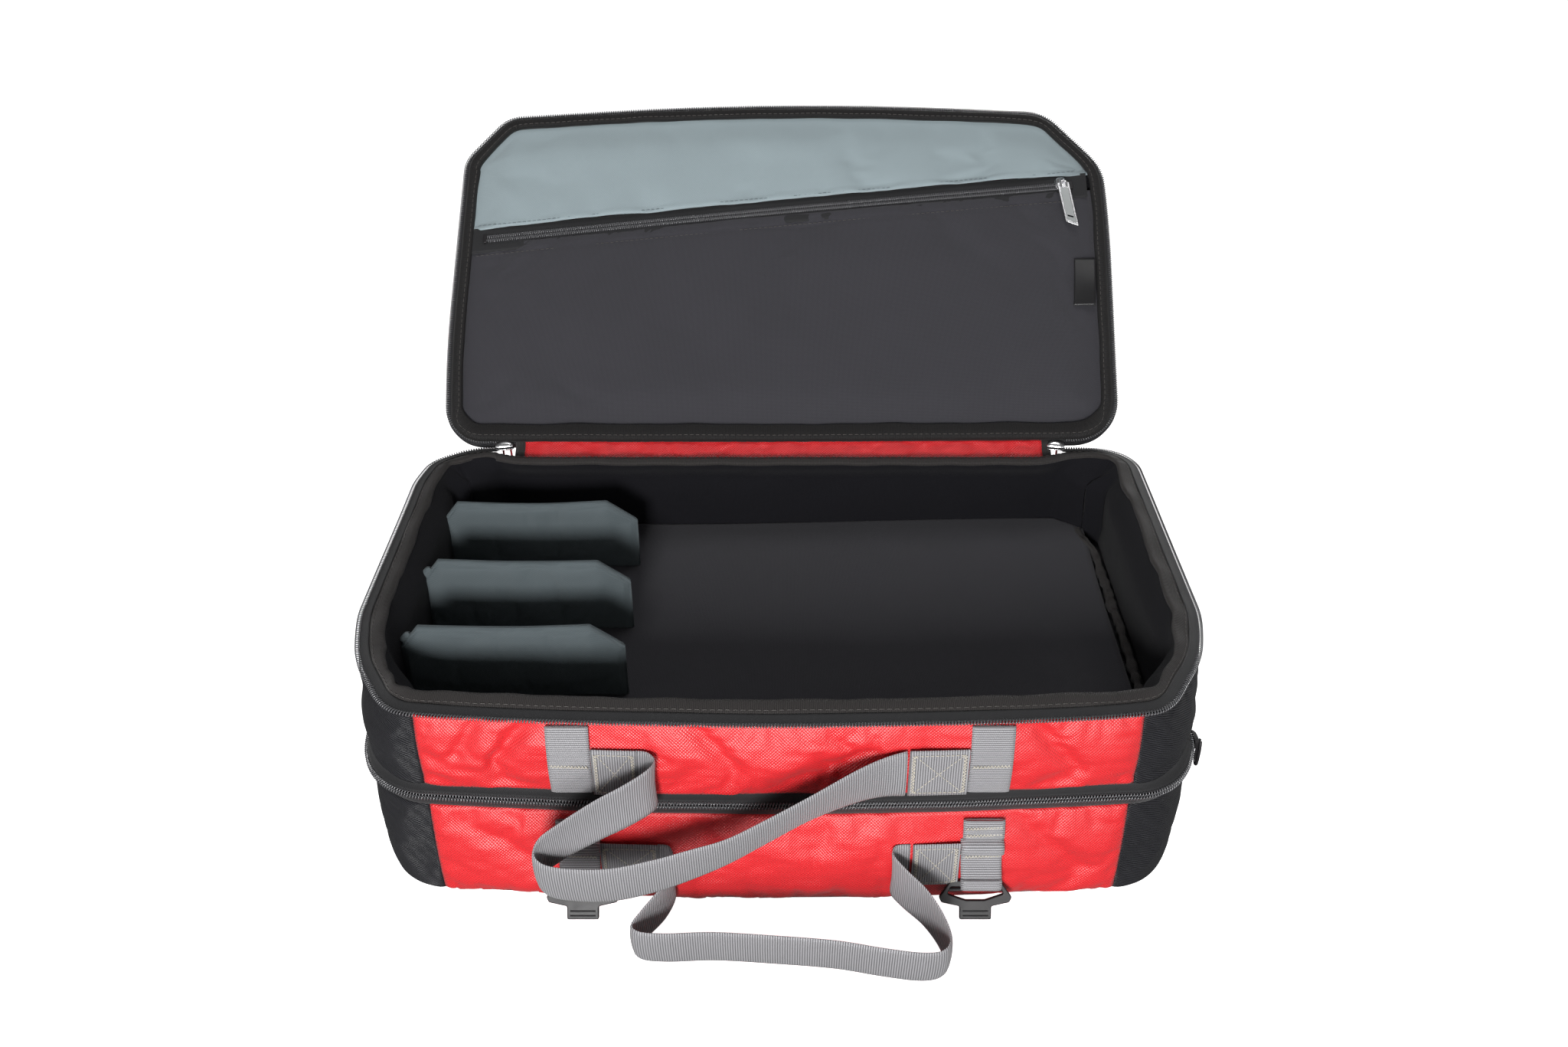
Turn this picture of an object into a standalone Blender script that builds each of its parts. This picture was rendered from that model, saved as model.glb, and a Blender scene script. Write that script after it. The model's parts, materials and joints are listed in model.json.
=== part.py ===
"""Two-tier soft equipment case, open: a red and black padded case with a hinged upper tray.

Metres, +Z up. Origin: the middle of the base's flat underside. +X is to the right seen from the
front, +Y towards the hinges at the back, and the lid stands open.
"""
import math

import bpy
from mathutils import Matrix, Vector

# Driving dimensions
WIDTH = 0.520            # across the ends
DEPTH = 0.302            # front to back at the corners
FRONT_BOW = 0.009        # how far the front bulges between its corners
CENTRE_HALF = 0.215      # half the width of the red panels
CORNER_FRONT = 0.064     # depth of the front corners' curve
CORNER_REAR = 0.030      # depth of the rear corners' curve
SPLIT_Z = 0.090          # where the two tiers meet
RIM_Z = 0.1545           # top of the rim's zip
GAP = 0.0003             # clearance between touching pieces
PANEL = 0.0016           # outer fabric
PADDING = 0.0100         # foam in its lining
BASE = 0.0020            # base fabric
BOARD = 0.0030           # stiffener boards
MAT = 0.0020             # lining on the tray's floor
ZIP_HEIGHT = 0.0094      # one half of the split's zip band
ZIP_PROUD = 0.0030       # how far a zip band stands out of the wall
WEBBING = 0.0015         # thickness of the webbing
STRAP_WIDTH = 0.0255
STRAP_X = 0.1235
HANDLE_WIDTH = 0.0360
HANDLE_THICKNESS = 0.0020
UPPER_HANDLE_Z = 0.1185
LOWER_HANDLE_Z = 0.0405
ANCHOR_PROUD = 0.0026    # two layers of webbing sewn flat

LID_OPEN = math.radians(142.0)
LID_AXIS_Y = 0.1520
LID_AXIS_Z = 0.1585
LID_NEAR = 0.0155        # from the hinge axis to the lid's near edge
LID_FAR = 0.3045         # from the hinge axis to the lid's far edge
LID_CORNER = 0.045
LID_FOAM = 0.0095
LID_BINDING = 0.0020
GUSSET_HALF = 0.197
LID_SLIDER_X = 0.211     # where the lid's two zip sliders are parked
POCKET_HALF = 0.2500
POCKET_LEFT = 0.1735     # the pocket zip's distance from the hinge at the left
POCKET_RIGHT = 0.2260    # and at the right
POCKET_ZIP_WIDTH = 0.0120
POCKET_PANEL = 0.0012

DIVIDER_Y = {"front": -0.0660, "middle": 0.0055, "rear": 0.0800}
DIVIDER_LENGTH = 0.1450
DIVIDER_THICKNESS = 0.0070
DIVIDER_LEFT = -0.2425
DIVIDER_TOP = 0.1530
MAT_LEFT = -0.0960       # where the mat's open part starts, clear of the dividers
MAT_RIGHT = 0.2330

CURVE_STEPS = 7


def clear_scene():
    for thing in list(bpy.data.objects):
        bpy.data.objects.remove(thing, do_unlink=True)


clear_scene()
CASE = bpy.data.collections.new("equipment_case")
bpy.context.scene.collection.children.link(CASE)


def material(name, colour, roughness, metallic=0.0):
    made = bpy.data.materials.new(name)
    made.use_nodes = True
    shader = made.node_tree.nodes["Principled BSDF"]
    shader.inputs["Base Color"].default_value = (*colour, 1.0)
    shader.inputs["Roughness"].default_value = roughness
    shader.inputs["Metallic"].default_value = metallic
    made.diffuse_color = (*colour, 1.0)
    return made


RED = material("red_polyester", (0.78, 0.03, 0.04), 0.70)
BLACK = material("black_twill", (0.022, 0.022, 0.026), 0.75)
LINING = material("charcoal_lining", (0.018, 0.018, 0.024), 0.85)
GREY = material("grey_lining", (0.19, 0.23, 0.25), 0.80)
WEB = material("grey_webbing", (0.20, 0.20, 0.21), 0.70)
BINDING = material("black_binding", (0.020, 0.017, 0.016), 0.70)
ZIPPER = material("black_zip", (0.012, 0.012, 0.013), 0.45)
BOARDS = material("stiffener_board", (0.30, 0.28, 0.25), 0.80)
FOAM = material("grey_foam", (0.25, 0.25, 0.26), 0.95)
PLASTIC = material("black_plastic", (0.035, 0.032, 0.034), 0.45)
METAL = material("nickel", (0.70, 0.70, 0.72), 0.25, 1.0)


# Outlines of the case in plan

def spread(low, high, steps):
    return [low + (high - low) * i / steps for i in range(steps + 1)]


def front_y(x, out=0.0):
    """The front face at x; out is the distance outside the fabric's outer face."""
    return -(DEPTH / 2 + out) - FRONT_BOW * (1 - (x / CENTRE_HALF) ** 2)


def front_path(out, left=-CENTRE_HALF, right=CENTRE_HALF, steps=CURVE_STEPS):
    return [(x, front_y(x, out)) for x in spread(left, right, steps)]


def quarter(centre, radii, start, steps=CURVE_STEPS):
    angles = [math.radians(a) for a in spread(start, start + 90, steps)]
    return [(centre[0] + radii[0] * math.cos(a), centre[1] + radii[1] * math.sin(a)) for a in angles]


def end_path(out):
    """The right-hand end from front to back."""
    across = WIDTH / 2 - CENTRE_HALF + out
    near = quarter((CENTRE_HALF, CORNER_FRONT - DEPTH / 2), (across, CORNER_FRONT + out), -90)
    far = quarter((CENTRE_HALF, DEPTH / 2 - CORNER_REAR), (across, CORNER_REAR + out), 0)
    return near + far


def mirrored(path):
    return [(-x, y) for x, y in reversed(path)]


def back_path(out):
    inside = CENTRE_HALF - GAP
    return [(inside, DEPTH / 2 + out), (-inside, DEPTH / 2 + out)]


def three_sides(out):
    """Round the front and both ends, from the back's left corner to its right one."""
    front = front_path(out)[1:-1]
    return mirrored(end_path(out)) + front + end_path(out)


def band(path, inner, outer):
    return path(outer) + list(reversed(path(inner)))


# Shapes

def place(thing, surface, parent=None):
    CASE.objects.link(thing)
    if surface:
        thing.data.materials.append(surface)
    if parent:
        thing.parent = parent
    return thing


def prism(name, outline, low, high, surface, parent=None, holes=()):
    """A flat outline with any holes, extruded from low to high."""
    curve = bpy.data.curves.new(name, "CURVE")
    curve.dimensions = "2D"
    curve.fill_mode = "BOTH"
    curve.extrude = (high - low) / 2
    for points in (outline, *holes):
        spline = curve.splines.new("POLY")
        spline.points.add(len(points) - 1)
        for point, (x, y) in zip(spline.points, points):
            point.co = (x, y, 0, 1)
        spline.use_cyclic_u = True
    thing = bpy.data.objects.new(name, curve)
    thing.location.z = (low + high) / 2
    return place(thing, surface, parent)


def rounded_box(left, right, near, far, radius, steps=4):
    corners = [(right, near, -90, -1, 1), (right, far, 0, -1, -1), (left, far, 90, 1, -1), (left, near, 180, 1, 1)]
    points = []
    for x, y, start, in_x, in_y in corners:
        points += quarter((x + in_x * radius, y + in_y * radius), (radius, radius), start, steps)
    return points


def joint_frame(name, location, rotation=(0, 0, 0), parent=None):
    frame = bpy.data.objects.new(name, None)
    frame.location = location
    frame.rotation_euler = rotation
    frame.empty_display_size = 0.02
    return place(frame, None, parent)


def smooth_route(route, steps):
    """Points on the Catmull-Rom curve through the route, each (x, y, z, lean)."""
    padded = [route[0]] + route + [route[-1]]
    points = []
    for a, b, c, d in zip(padded, padded[1:], padded[2:], padded[3:]):
        for t in (i / steps for i in range(steps)):
            points.append([0.5 * (2 * q + (r - p) * t + (2 * p - 5 * q + 4 * r - s) * t * t
                                  + (3 * q - p - 3 * r + s) * t ** 3)
                           for p, q, r, s in zip(a, b, c, d)])
    return points + [list(route[-1])]


def webbing_loop(name, route, width, thickness, surface, steps=3):
    """A flat band on edge along the route; lean tips its upper edge forward, in degrees."""
    verts = []
    for x, y, z, lean in smooth_route(route, steps):
        across = Vector((0, -math.sin(math.radians(lean)), math.cos(math.radians(lean)))) * width / 2
        verts += [Vector((x, y, z)) - across, Vector((x, y, z)) + across]
    faces = [(i, i + 2, i + 3, i + 1) for i in range(0, len(verts) - 2, 2)]
    mesh = bpy.data.meshes.new(name)
    mesh.from_pydata(verts, [], faces)
    thing = place(bpy.data.objects.new(name, mesh), surface)
    solid = thing.modifiers.new("thickness", "SOLIDIFY")
    solid.thickness = thickness
    solid.offset = 0
    return thing


# The walls, shared by both tiers

def walls(tier, low, high, padding_low, padding_high):
    skin = (-PANEL, 0.0)
    pad = (-PANEL - GAP - PADDING, -PANEL - GAP)
    inside = CENTRE_HALF - GAP
    front = lambda out: front_path(out, -inside, inside)
    left_end = lambda out: mirrored(end_path(out))
    for part, path, colour in (("front_panel", front, RED), ("back_panel", back_path, RED),
                               ("left_end", left_end, BLACK), ("right_end", end_path, BLACK)):
        prism(f"{tier}_{part}", band(path, *skin), low, high, colour)
    for part, path in (("front_padding", front), ("back_padding", back_path),
                       ("left_padding", left_end), ("right_padding", end_path)):
        prism(f"{tier}_{part}", band(path, *pad), padding_low, padding_high, LINING)


def front_patch(name, left, right, low, high, thickness, surface):
    """A piece that lies flat on the front face."""
    path = lambda out: front_path(out, left, right, 2)
    return prism(name, band(path, GAP, GAP + thickness), low, high, surface)


def whole_outline(out):
    return three_sides(out)


def tidy(outline):
    """Leaves out the points in the middle of a straight run along Y."""
    before = outline[-1:] + outline[:-1]
    after = outline[1:] + outline[:1]
    return [p for b, p, a in zip(before, outline, after) if not b[0] == p[0] == a[0]]


def lower_tier():
    inside = -PANEL - PADDING - 2 * GAP
    wall_low = BASE + GAP
    prism("base_panel", whole_outline(-PANEL), 0.0, BASE, BLACK)
    prism("base_board", whole_outline(inside), wall_low, wall_low + BOARD, BOARDS)
    zip_low = SPLIT_Z - 0.0002 - ZIP_HEIGHT
    walls("lower", wall_low, zip_low - GAP, wall_low, SPLIT_Z - 0.0030)
    prism("mid_zip_lower_tape", band(three_sides, -PANEL, ZIP_PROUD), zip_low, SPLIT_Z - 0.0002, ZIPPER)
    strip = [(-CENTRE_HALF, DEPTH / 2 + GAP), (CENTRE_HALF, DEPTH / 2 + GAP),
             (CENTRE_HALF, DEPTH / 2 + GAP + WEBBING), (-CENTRE_HALF, DEPTH / 2 + GAP + WEBBING)]
    prism("tier_hinge_strip", strip, SPLIT_Z - 0.012, SPLIT_Z - 0.0004, BLACK)
    strap("lower_strap_left", -STRAP_X, 0.030, 0.072)
    strap("lower_strap_right", STRAP_X, 0.030, 0.074)


def strap(name, centre, low, high):
    front_patch(name, centre - STRAP_WIDTH / 2, centre + STRAP_WIDTH / 2, low, high, WEBBING, WEB)


def anchors(tier, centre_z, left, right):
    """The two ends of a handle, sewn flat on the front; left and right are their x ranges."""
    low = centre_z - HANDLE_WIDTH / 2
    high = centre_z + HANDLE_WIDTH / 2
    front_patch(f"{tier}_anchor_left", *left, low, high, ANCHOR_PROUD, WEB)
    front_patch(f"{tier}_anchor_right", *right, low, high, ANCHOR_PROUD, WEB)


def upper_tier():
    inside = -PANEL - PADDING - 2 * GAP
    floor_low = SPLIT_Z + 0.0002
    mat_low = floor_low + BOARD + GAP
    prism("tray_board", whole_outline(inside), floor_low, floor_low + BOARD, BOARDS)
    edge = whole_outline(inside)
    open_part = [(max(MAT_LEFT, min(x, MAT_RIGHT)), y) for x, y in edge]
    under_dividers = [(min(x, MAT_LEFT - GAP), y) for x, y in edge]
    prism("tray_mat", tidy(open_part), mat_low, mat_low + MAT, LINING)
    prism("tray_mat_left", tidy(under_dividers), mat_low, mat_low + MAT, LINING)
    trim = rounded_box(0.2345, 0.2405, -0.100, 0.115, 0.002, 2)
    prism("tray_edge_trim", trim, mat_low, mat_low + 0.0050, BINDING)
    zip_high = floor_low + ZIP_HEIGHT
    walls("upper", zip_high + GAP, RIM_Z - 0.0043, floor_low, RIM_Z - 0.0010)
    prism("mid_zip_upper_tape", band(three_sides, -PANEL, ZIP_PROUD), floor_low, zip_high, ZIPPER)
    prism("rim_zip_tape", band(three_sides, -PANEL, 0.0015), RIM_Z - 0.0040, RIM_Z, ZIPPER)
    ring = [whole_outline(-0.0035), whole_outline(-0.0125)]
    prism("rim_binding", ring[0], RIM_Z - 0.0007, RIM_Z + 0.0010, BINDING, holes=[ring[1]])
    strap("upper_strap_left", -STRAP_X, zip_high + 0.0030, RIM_Z - 0.0045)
    strap("upper_strap_right", STRAP_X, zip_high + 0.0030, RIM_Z - 0.0045)


def divider(place_name, centre_y):
    """A padded wall with its upper corners cut off, standing on the tray's floor."""
    hinge = joint_frame(f"divider_{place_name}_hinge", (DIVIDER_LEFT - 0.002, centre_y, 0.0))
    low = SPLIT_Z + 0.0002 + BOARD + MAT + 3 * GAP
    left, right = 0.002, 0.002 + DIVIDER_LENGTH
    outline = [(left, low), (right, low), (right, DIVIDER_TOP - 0.017), (right - 0.021, DIVIDER_TOP),
               (left + 0.012, DIVIDER_TOP), (left, DIVIDER_TOP - 0.017)]
    thing = prism(f"divider_{place_name}", outline, -DIVIDER_THICKNESS / 2, DIVIDER_THICKNESS / 2, GREY, hinge)
    thing.location = (0, 0, 0)
    thing.rotation_euler = (math.pi / 2, 0, 0)


def lid_outline(out=0.0):
    half = WIDTH / 2 + out
    radius = LID_CORNER + out
    return rounded_box(-half, half, -LID_FAR - out, -LID_NEAR + out, radius, CURVE_STEPS)


def pocket_line(x):
    """The pocket zip's y in the closed lid, at x."""
    share = (x + POCKET_HALF) / (2 * POCKET_HALF)
    return -(POCKET_LEFT + (POCKET_RIGHT - POCKET_LEFT) * share)


def inner_panel(name, keep_far, surface, hinge):
    """The part of the lid's inner face on one side of the pocket zip."""
    margin = POCKET_ZIP_WIDTH / 2 + GAP
    edge = lid_outline(-0.0073)
    half = max(x for x, _ in edge)
    sign = -1 if keep_far else 1
    side = [(x, y) for x, y in edge if sign * (y - pocket_line(x)) > margin]
    ends = [(half, pocket_line(half) + sign * margin), (-half, pocket_line(-half) + sign * margin)]
    ordered = sorted(side + ends, key=lambda p: math.atan2(p[1] - mean(side, 1), p[0] - mean(side, 0)))
    return prism(name, ordered, -POCKET_PANEL, 0.0, surface, hinge)


def mean(points, axis):
    return sum(p[axis] for p in points) / len(points)


def lid():
    hinge = joint_frame("lid_hinge", (0, LID_AXIS_Y, LID_AXIS_Z), (-LID_OPEN, 0, 0))
    lining_high = GAP + 0.0016
    foam_high = lining_high + GAP + LID_FOAM
    prism("lid_lining", lid_outline(), GAP, lining_high, LINING, hinge)
    prism("lid_foam", lid_outline(-0.002), lining_high + GAP, foam_high, FOAM, hinge)
    prism("lid_outer_cover", lid_outline(), foam_high + GAP, foam_high + GAP + PANEL, RED, hinge)
    inner_panel("pocket_grey_panel", True, GREY, hinge)
    inner_panel("pocket_black_panel", False, LINING, hinge)
    half, tape = POCKET_HALF, POCKET_ZIP_WIDTH / 2
    zip_outline = [(-half, pocket_line(-half) - tape), (half, pocket_line(half) - tape),
                   (half, pocket_line(half) + tape), (-half, pocket_line(-half) + tape)]
    prism("pocket_zip_tape", zip_outline, -POCKET_PANEL, 0.0, ZIPPER, hinge)
    prism("lid_binding", lid_outline(), -LID_BINDING, 0.0, BINDING, hinge, holes=[lid_outline(-0.0070)])
    prism("lid_zip_tape", lid_outline(ZIP_PROUD), 0.0005, 0.0040, ZIPPER, hinge, holes=[lid_outline(GAP)])
    gusset = [(-GUSSET_HALF, -LID_NEAR + ZIP_PROUD + GAP), (GUSSET_HALF, -LID_NEAR + ZIP_PROUD + GAP),
              (GUSSET_HALF, -0.0040), (-GUSSET_HALF, -0.0040)]
    prism("hinge_gusset", gusset, 0.0, 0.0016, RED, hinge)
    label = [(0.2350, -0.1570), (0.2520, -0.1570), (0.2490, -0.1155), (0.2320, -0.1155)]
    prism("lid_label", label, -LID_BINDING - GAP / 3 - 0.0007, -LID_BINDING - GAP / 3, BINDING, hinge)
    pocket_slider(hinge)


def slider_body(name, length, width, height, surface, parent=None):
    """A zip slider: a plate with rounded corners, drawn on the XY plane, +Z outwards."""
    outline = rounded_box(-length / 2, length / 2, -width / 2, width / 2, width / 3, 3)
    return prism(name, outline, 0.0, height, surface, parent)


def pull_tab(name, width, length, hole, thickness, surface, parent):
    """A flat pull with a slot near its end, hanging along -Y from its hinge."""
    outline = rounded_box(-width / 2, width / 2, -length, 0.0, width / 4, 3)
    slot = rounded_box(-hole / 2, hole / 2, -length + width / 4, -length + width / 4 + 2 * hole, hole / 3, 2)
    return prism(name, outline, -thickness / 2, thickness / 2, surface, parent, holes=[slot])


def pocket_slider(hinge):
    tilt = math.atan2(POCKET_LEFT - POCKET_RIGHT, 2 * POCKET_HALF)
    x = 0.2300
    seat = joint_frame("pocket_slider_seat", (x, pocket_line(x), -POCKET_PANEL - GAP), (math.pi, 0, -tilt), hinge)
    slider_body("pocket_slider", 0.0130, 0.0085, 0.0040, METAL, seat)
    swing = joint_frame("pocket_pull_hinge", (0, 0, 0.0040 + GAP + 0.0009), (0, 0, math.radians(6.0)), seat)
    pull = pull_tab("pocket_pull", 0.0095, 0.0420, 0.0045, 0.0018, METAL, swing)
    pull.location.y = 0.0020


def mid_zip_slider():
    seat = joint_frame("mid_zip_seat", (WIDTH / 2 + ZIP_PROUD + GAP, -0.104, SPLIT_Z), (0, math.pi / 2, 0))
    slider_body("mid_zip_slider", 0.0090, 0.0130, 0.0045, PLASTIC, seat)
    swing = joint_frame("mid_pull_hinge", (0, 0, 0.0045 + GAP + 0.0010), (0, 0, math.pi / 2), seat)
    pull_tab("mid_zip_pull", 0.0065, 0.0220, 0.0030, 0.0020, PLASTIC, swing)


def lid_zip_slider(side, x):
    slider = rounded_box(x - 0.0070, x + 0.0070, 0.1475, 0.1560, 0.0025, 3)
    prism(f"lid_zip_slider_{side}", slider, RIM_Z + 0.0013, RIM_Z + 0.0058, METAL)
    swing = joint_frame(f"lid_pull_hinge_{side}", (x, 0.1580, RIM_Z + 0.0035), (math.pi / 2, 0, 0))
    pull_tab(f"lid_zip_pull_{side}", 0.0095, 0.0400, 0.0045, 0.0018, METAL, swing)


def ladder_lock(side, centre):
    """A strap adjuster on the front's bottom edge: a frame with two slots and a lifting tab."""
    swing = joint_frame(f"ladder_lock_hinge_{side}", (centre, front_y(centre) - 0.0055, 0.0250),
                        (math.radians(60.0), 0, 0))
    right = [(0.0100, -0.0250), (0.0100, -0.0165), (0.0215, -0.0140), (0.0230, -0.0105), (0.0155, 0.0)]
    outline = [(-x, y) for x, y in right] + list(reversed(right))
    slots = [rounded_box(-0.0130, 0.0130, y, y + 0.0028, 0.0005, 1) for y in (-0.0055, -0.0125)]
    prism(f"ladder_lock_{side}", outline, -0.0020, 0.0020, PLASTIC, swing, holes=slots)


def handles():
    upper = [
        (-0.0832, -0.1613, 0.1185, 0), (-0.0765, -0.1635, 0.1185, 0), (-0.0720, -0.1710, 0.1185, 0),
        (-0.0765, -0.1800, 0.1180, 2), (-0.0900, -0.1865, 0.1130, 4), (-0.1060, -0.1895, 0.1050, 6),
        (-0.1270, -0.1910, 0.0900, 8), (-0.1395, -0.1925, 0.0790, 9), (-0.1425, -0.1965, 0.0710, 9),
        (-0.1360, -0.2000, 0.0660, 9), (-0.1200, -0.2010, 0.0635, 9), (-0.0980, -0.2010, 0.0640, 9),
        (-0.0740, -0.2000, 0.0700, 9), (-0.0520, -0.1985, 0.0780, 12), (-0.0300, -0.1960, 0.0865, 16),
        (-0.0075, -0.1920, 0.0985, 20), (0.0190, -0.1840, 0.1100, 20), (0.0450, -0.1740, 0.1170, 10),
        (0.0620, -0.1665, 0.1185, 3), (0.0750, -0.1618, 0.1185, 0)]
    lower = [
        (-0.0745, -0.1618, 0.0405, 0), (-0.0670, -0.1645, 0.0400, 0), (-0.0650, -0.1730, 0.0360, 4),
        (-0.0710, -0.1850, 0.0300, 8), (-0.0825, -0.1960, 0.0230, 12), (-0.0880, -0.2030, 0.0190, 12.6),
        (-0.0830, -0.2080, 0.0182, 12.6), (-0.0670, -0.2095, 0.0182, 12.6), (-0.0400, -0.2085, 0.0182, 12.6),
        (-0.0090, -0.2105, 0.0182, 12.6), (0.0330, -0.2145, 0.0182, 12.6), (0.0610, -0.2200, 0.0182, 12.6),
        (0.0840, -0.2235, 0.0182, 12.6), (0.0970, -0.2215, 0.0182, 12.6), (0.1020, -0.2130, 0.0188, 10),
        (0.0985, -0.2000, 0.0225, 8), (0.0895, -0.1880, 0.0290, 5), (0.0775, -0.1790, 0.0355, 2),
        (0.0700, -0.1710, 0.0395, 0), (0.0720, -0.1640, 0.0405, 0), (0.0808, -0.1616, 0.0405, 0)]
    webbing_loop("upper_handle_loop", upper, HANDLE_WIDTH, HANDLE_THICKNESS, WEB)
    webbing_loop("lower_handle_loop", lower, HANDLE_WIDTH, HANDLE_THICKNESS, WEB)
    anchors("upper", UPPER_HANDLE_Z, (-0.1104, -0.0835), (0.0753, 0.1104))
    anchors("lower", LOWER_HANDLE_Z, (-0.1104, -0.0748), (0.0811, 0.1104))


lower_tier()
upper_tier()
lid()
for divider_name, divider_y in DIVIDER_Y.items():
    divider(divider_name, divider_y)
mid_zip_slider()
lid_zip_slider("left", -LID_SLIDER_X)
lid_zip_slider("right", LID_SLIDER_X)
ladder_lock("left", -STRAP_X)
ladder_lock("right", STRAP_X)
handles()
bpy.context.view_layer.update()
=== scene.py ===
"""Looks of an open two-tier equipment case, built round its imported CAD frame.

Metres, +Z up, in the CAD's own frame: +X to the right seen from the front, +Y towards the hinges.
Cloth pieces are grids of points with a "cloth" attribute, their distance along and across the cloth
in metres, which the woven materials read.
"""

import json
import math

import bpy
import numpy as np
from mathutils import Matrix, Vector, noise


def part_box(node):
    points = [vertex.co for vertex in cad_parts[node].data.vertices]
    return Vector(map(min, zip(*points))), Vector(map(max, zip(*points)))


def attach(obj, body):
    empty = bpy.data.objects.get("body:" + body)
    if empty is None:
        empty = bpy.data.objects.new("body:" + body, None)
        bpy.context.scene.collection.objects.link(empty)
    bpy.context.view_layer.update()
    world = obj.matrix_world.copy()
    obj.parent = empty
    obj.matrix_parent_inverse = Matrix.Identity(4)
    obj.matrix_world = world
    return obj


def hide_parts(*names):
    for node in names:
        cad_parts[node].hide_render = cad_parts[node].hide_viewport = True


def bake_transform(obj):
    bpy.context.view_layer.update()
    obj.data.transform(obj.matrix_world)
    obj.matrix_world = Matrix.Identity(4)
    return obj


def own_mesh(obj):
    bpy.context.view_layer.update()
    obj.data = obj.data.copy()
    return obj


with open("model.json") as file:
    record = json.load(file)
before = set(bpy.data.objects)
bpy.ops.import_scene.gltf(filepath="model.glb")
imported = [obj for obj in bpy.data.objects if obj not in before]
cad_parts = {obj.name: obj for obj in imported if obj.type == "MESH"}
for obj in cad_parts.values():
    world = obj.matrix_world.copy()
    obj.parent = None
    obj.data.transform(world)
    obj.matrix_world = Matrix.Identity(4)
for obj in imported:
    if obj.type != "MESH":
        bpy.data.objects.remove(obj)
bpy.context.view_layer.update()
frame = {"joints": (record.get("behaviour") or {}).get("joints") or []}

# Sizes taken from the frame
END_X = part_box("upper_right_end")[1].x
BACK_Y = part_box("upper_back_panel")[1].y
FRONT_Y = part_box("upper_front_panel")[0].y
CENTRE_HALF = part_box("upper_front_panel")[1].x
CORNER_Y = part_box("upper_right_end")[0].y
BOW = CORNER_Y - FRONT_Y
RIM_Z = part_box("rim_zip_tape")[1].z
SPLIT_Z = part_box("mid_zip_upper_tape")[0].z
FLOOR_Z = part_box("tray_mat")[1].z
BOARD_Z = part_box("base_board")[1].z
STRAP_X = (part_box("upper_strap_right")[0].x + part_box("upper_strap_right")[1].x) / 2
STRAP_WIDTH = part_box("upper_strap_right")[1].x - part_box("upper_strap_right")[0].x

# Shape of the case in plan
CORNER_ACROSS = END_X - CENTRE_HALF
CORNER_FRONT = 0.064
CORNER_REAR = 0.030
PADDING_PLAN = [(-0.212, 0.1345), (-0.2435, 0.112), (-0.2435, -0.085), (-0.212, -0.1330), (-0.110, -0.1400),
                (0.0, -0.1435), (0.110, -0.1400), (0.212, -0.1330), (0.2435, -0.085), (0.2435, 0.112),
                (0.212, 0.1345)]

# Cloth, webbing and zips
WEAVE = 0.00105
RIB = 0.0015
TWILL = 0.0014
COIL_PITCH = 0.00187
COIL_WIRE = 0.00042
GROSGRAIN = 0.0011       # between the ribs of a binding

# The lid, in its own frame: closed, its hinge axis the origin and the lid towards -Y
HINGE = {joint["name"]: joint for joint in frame["joints"]}
LID_OPEN = math.radians(HINGE["lid_hinge"]["range_deg"][1])
LID_AXIS = np.array(HINGE["lid_hinge"]["pos_m"])
LID_DEPTH = 0.0132           # from its inner face to the edge of its outer cover
LID_CORNERS = [              # each (x, y, how much of each side its rounding takes)
    (-0.2590, -0.2500, 0.010), (-0.2260, -0.2915, 0.012), (0.0, -0.3075, 0.150), (0.2200, -0.2965, 0.016),
    (0.2650, -0.2440, 0.016), (0.2665, -0.1900, 0.034), (0.2610, -0.0240, 0.014), (0.2400, -0.0030, 0.014),
    (0.0, -0.0008, 0.100), (-0.2390, -0.0012, 0.011), (-0.2570, -0.0185, 0.012), (-0.2612, -0.0800, 0.040)]


# ---------------------------------------------------------------- numbers and curves

def lerp(a, b, t):
    return a + (b - a) * t


def smooth(t, low=0.0, high=1.0):
    t = np.clip((np.asarray(t, float) - low) / (high - low), 0, 1)
    return t * t * (3 - 2 * t)


def rough(x, y, scale, seed=0.0):
    """Smooth noise about zero at each point of x and y, whose lumps are about scale long."""
    x, y = np.broadcast_arrays(x, y)
    flat = [noise.noise(Vector((a / scale, b / scale, seed * 7.31))) for a, b in zip(x.ravel(), y.ravel())]
    return np.reshape(flat, x.shape)


def unit(v):
    v = np.asarray(v, float)
    return v / np.maximum(np.linalg.norm(v, axis=-1, keepdims=True), 1e-12)


def lengths(points):
    """Distance along a line of points, from its first."""
    steps = np.linalg.norm(np.diff(points, axis=0), axis=1)
    return np.concatenate([[0.0], np.cumsum(steps)])


def resample(points, spacing, extra=None):
    """The line at even spacing; extra holds values at the first points, and is resampled with them."""
    points = np.asarray(points, float)
    along = lengths(points)
    wanted = np.linspace(0, along[-1], max(2, int(round(along[-1] / spacing)) + 1))
    line = np.stack([np.interp(wanted, along, c) for c in points.T], 1)
    if extra is None:
        return line
    return line, np.stack([np.interp(wanted, along, c) for c in np.asarray(extra, float).T], 1)


def smooth_route(route, steps):
    """Points on the Catmull-Rom curve through the route."""
    padded = np.array([route[0]] + list(route) + [route[-1]], float)
    points = []
    for a, b, c, d in zip(padded, padded[1:], padded[2:], padded[3:]):
        for t in np.arange(steps) / steps:
            points.append(0.5 * (2 * b + (c - a) * t + (2 * a - 5 * b + 4 * c - d) * t * t
                                 + (3 * b - a - 3 * c + d) * t ** 3))
    return np.array(points + [padded[-1]])


def tangents(points, closed=False):
    points = np.asarray(points, float)
    if closed:
        return unit(np.roll(points, -1, 0) - np.roll(points, 1, 0))
    return unit(np.gradient(points, axis=0))


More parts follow.
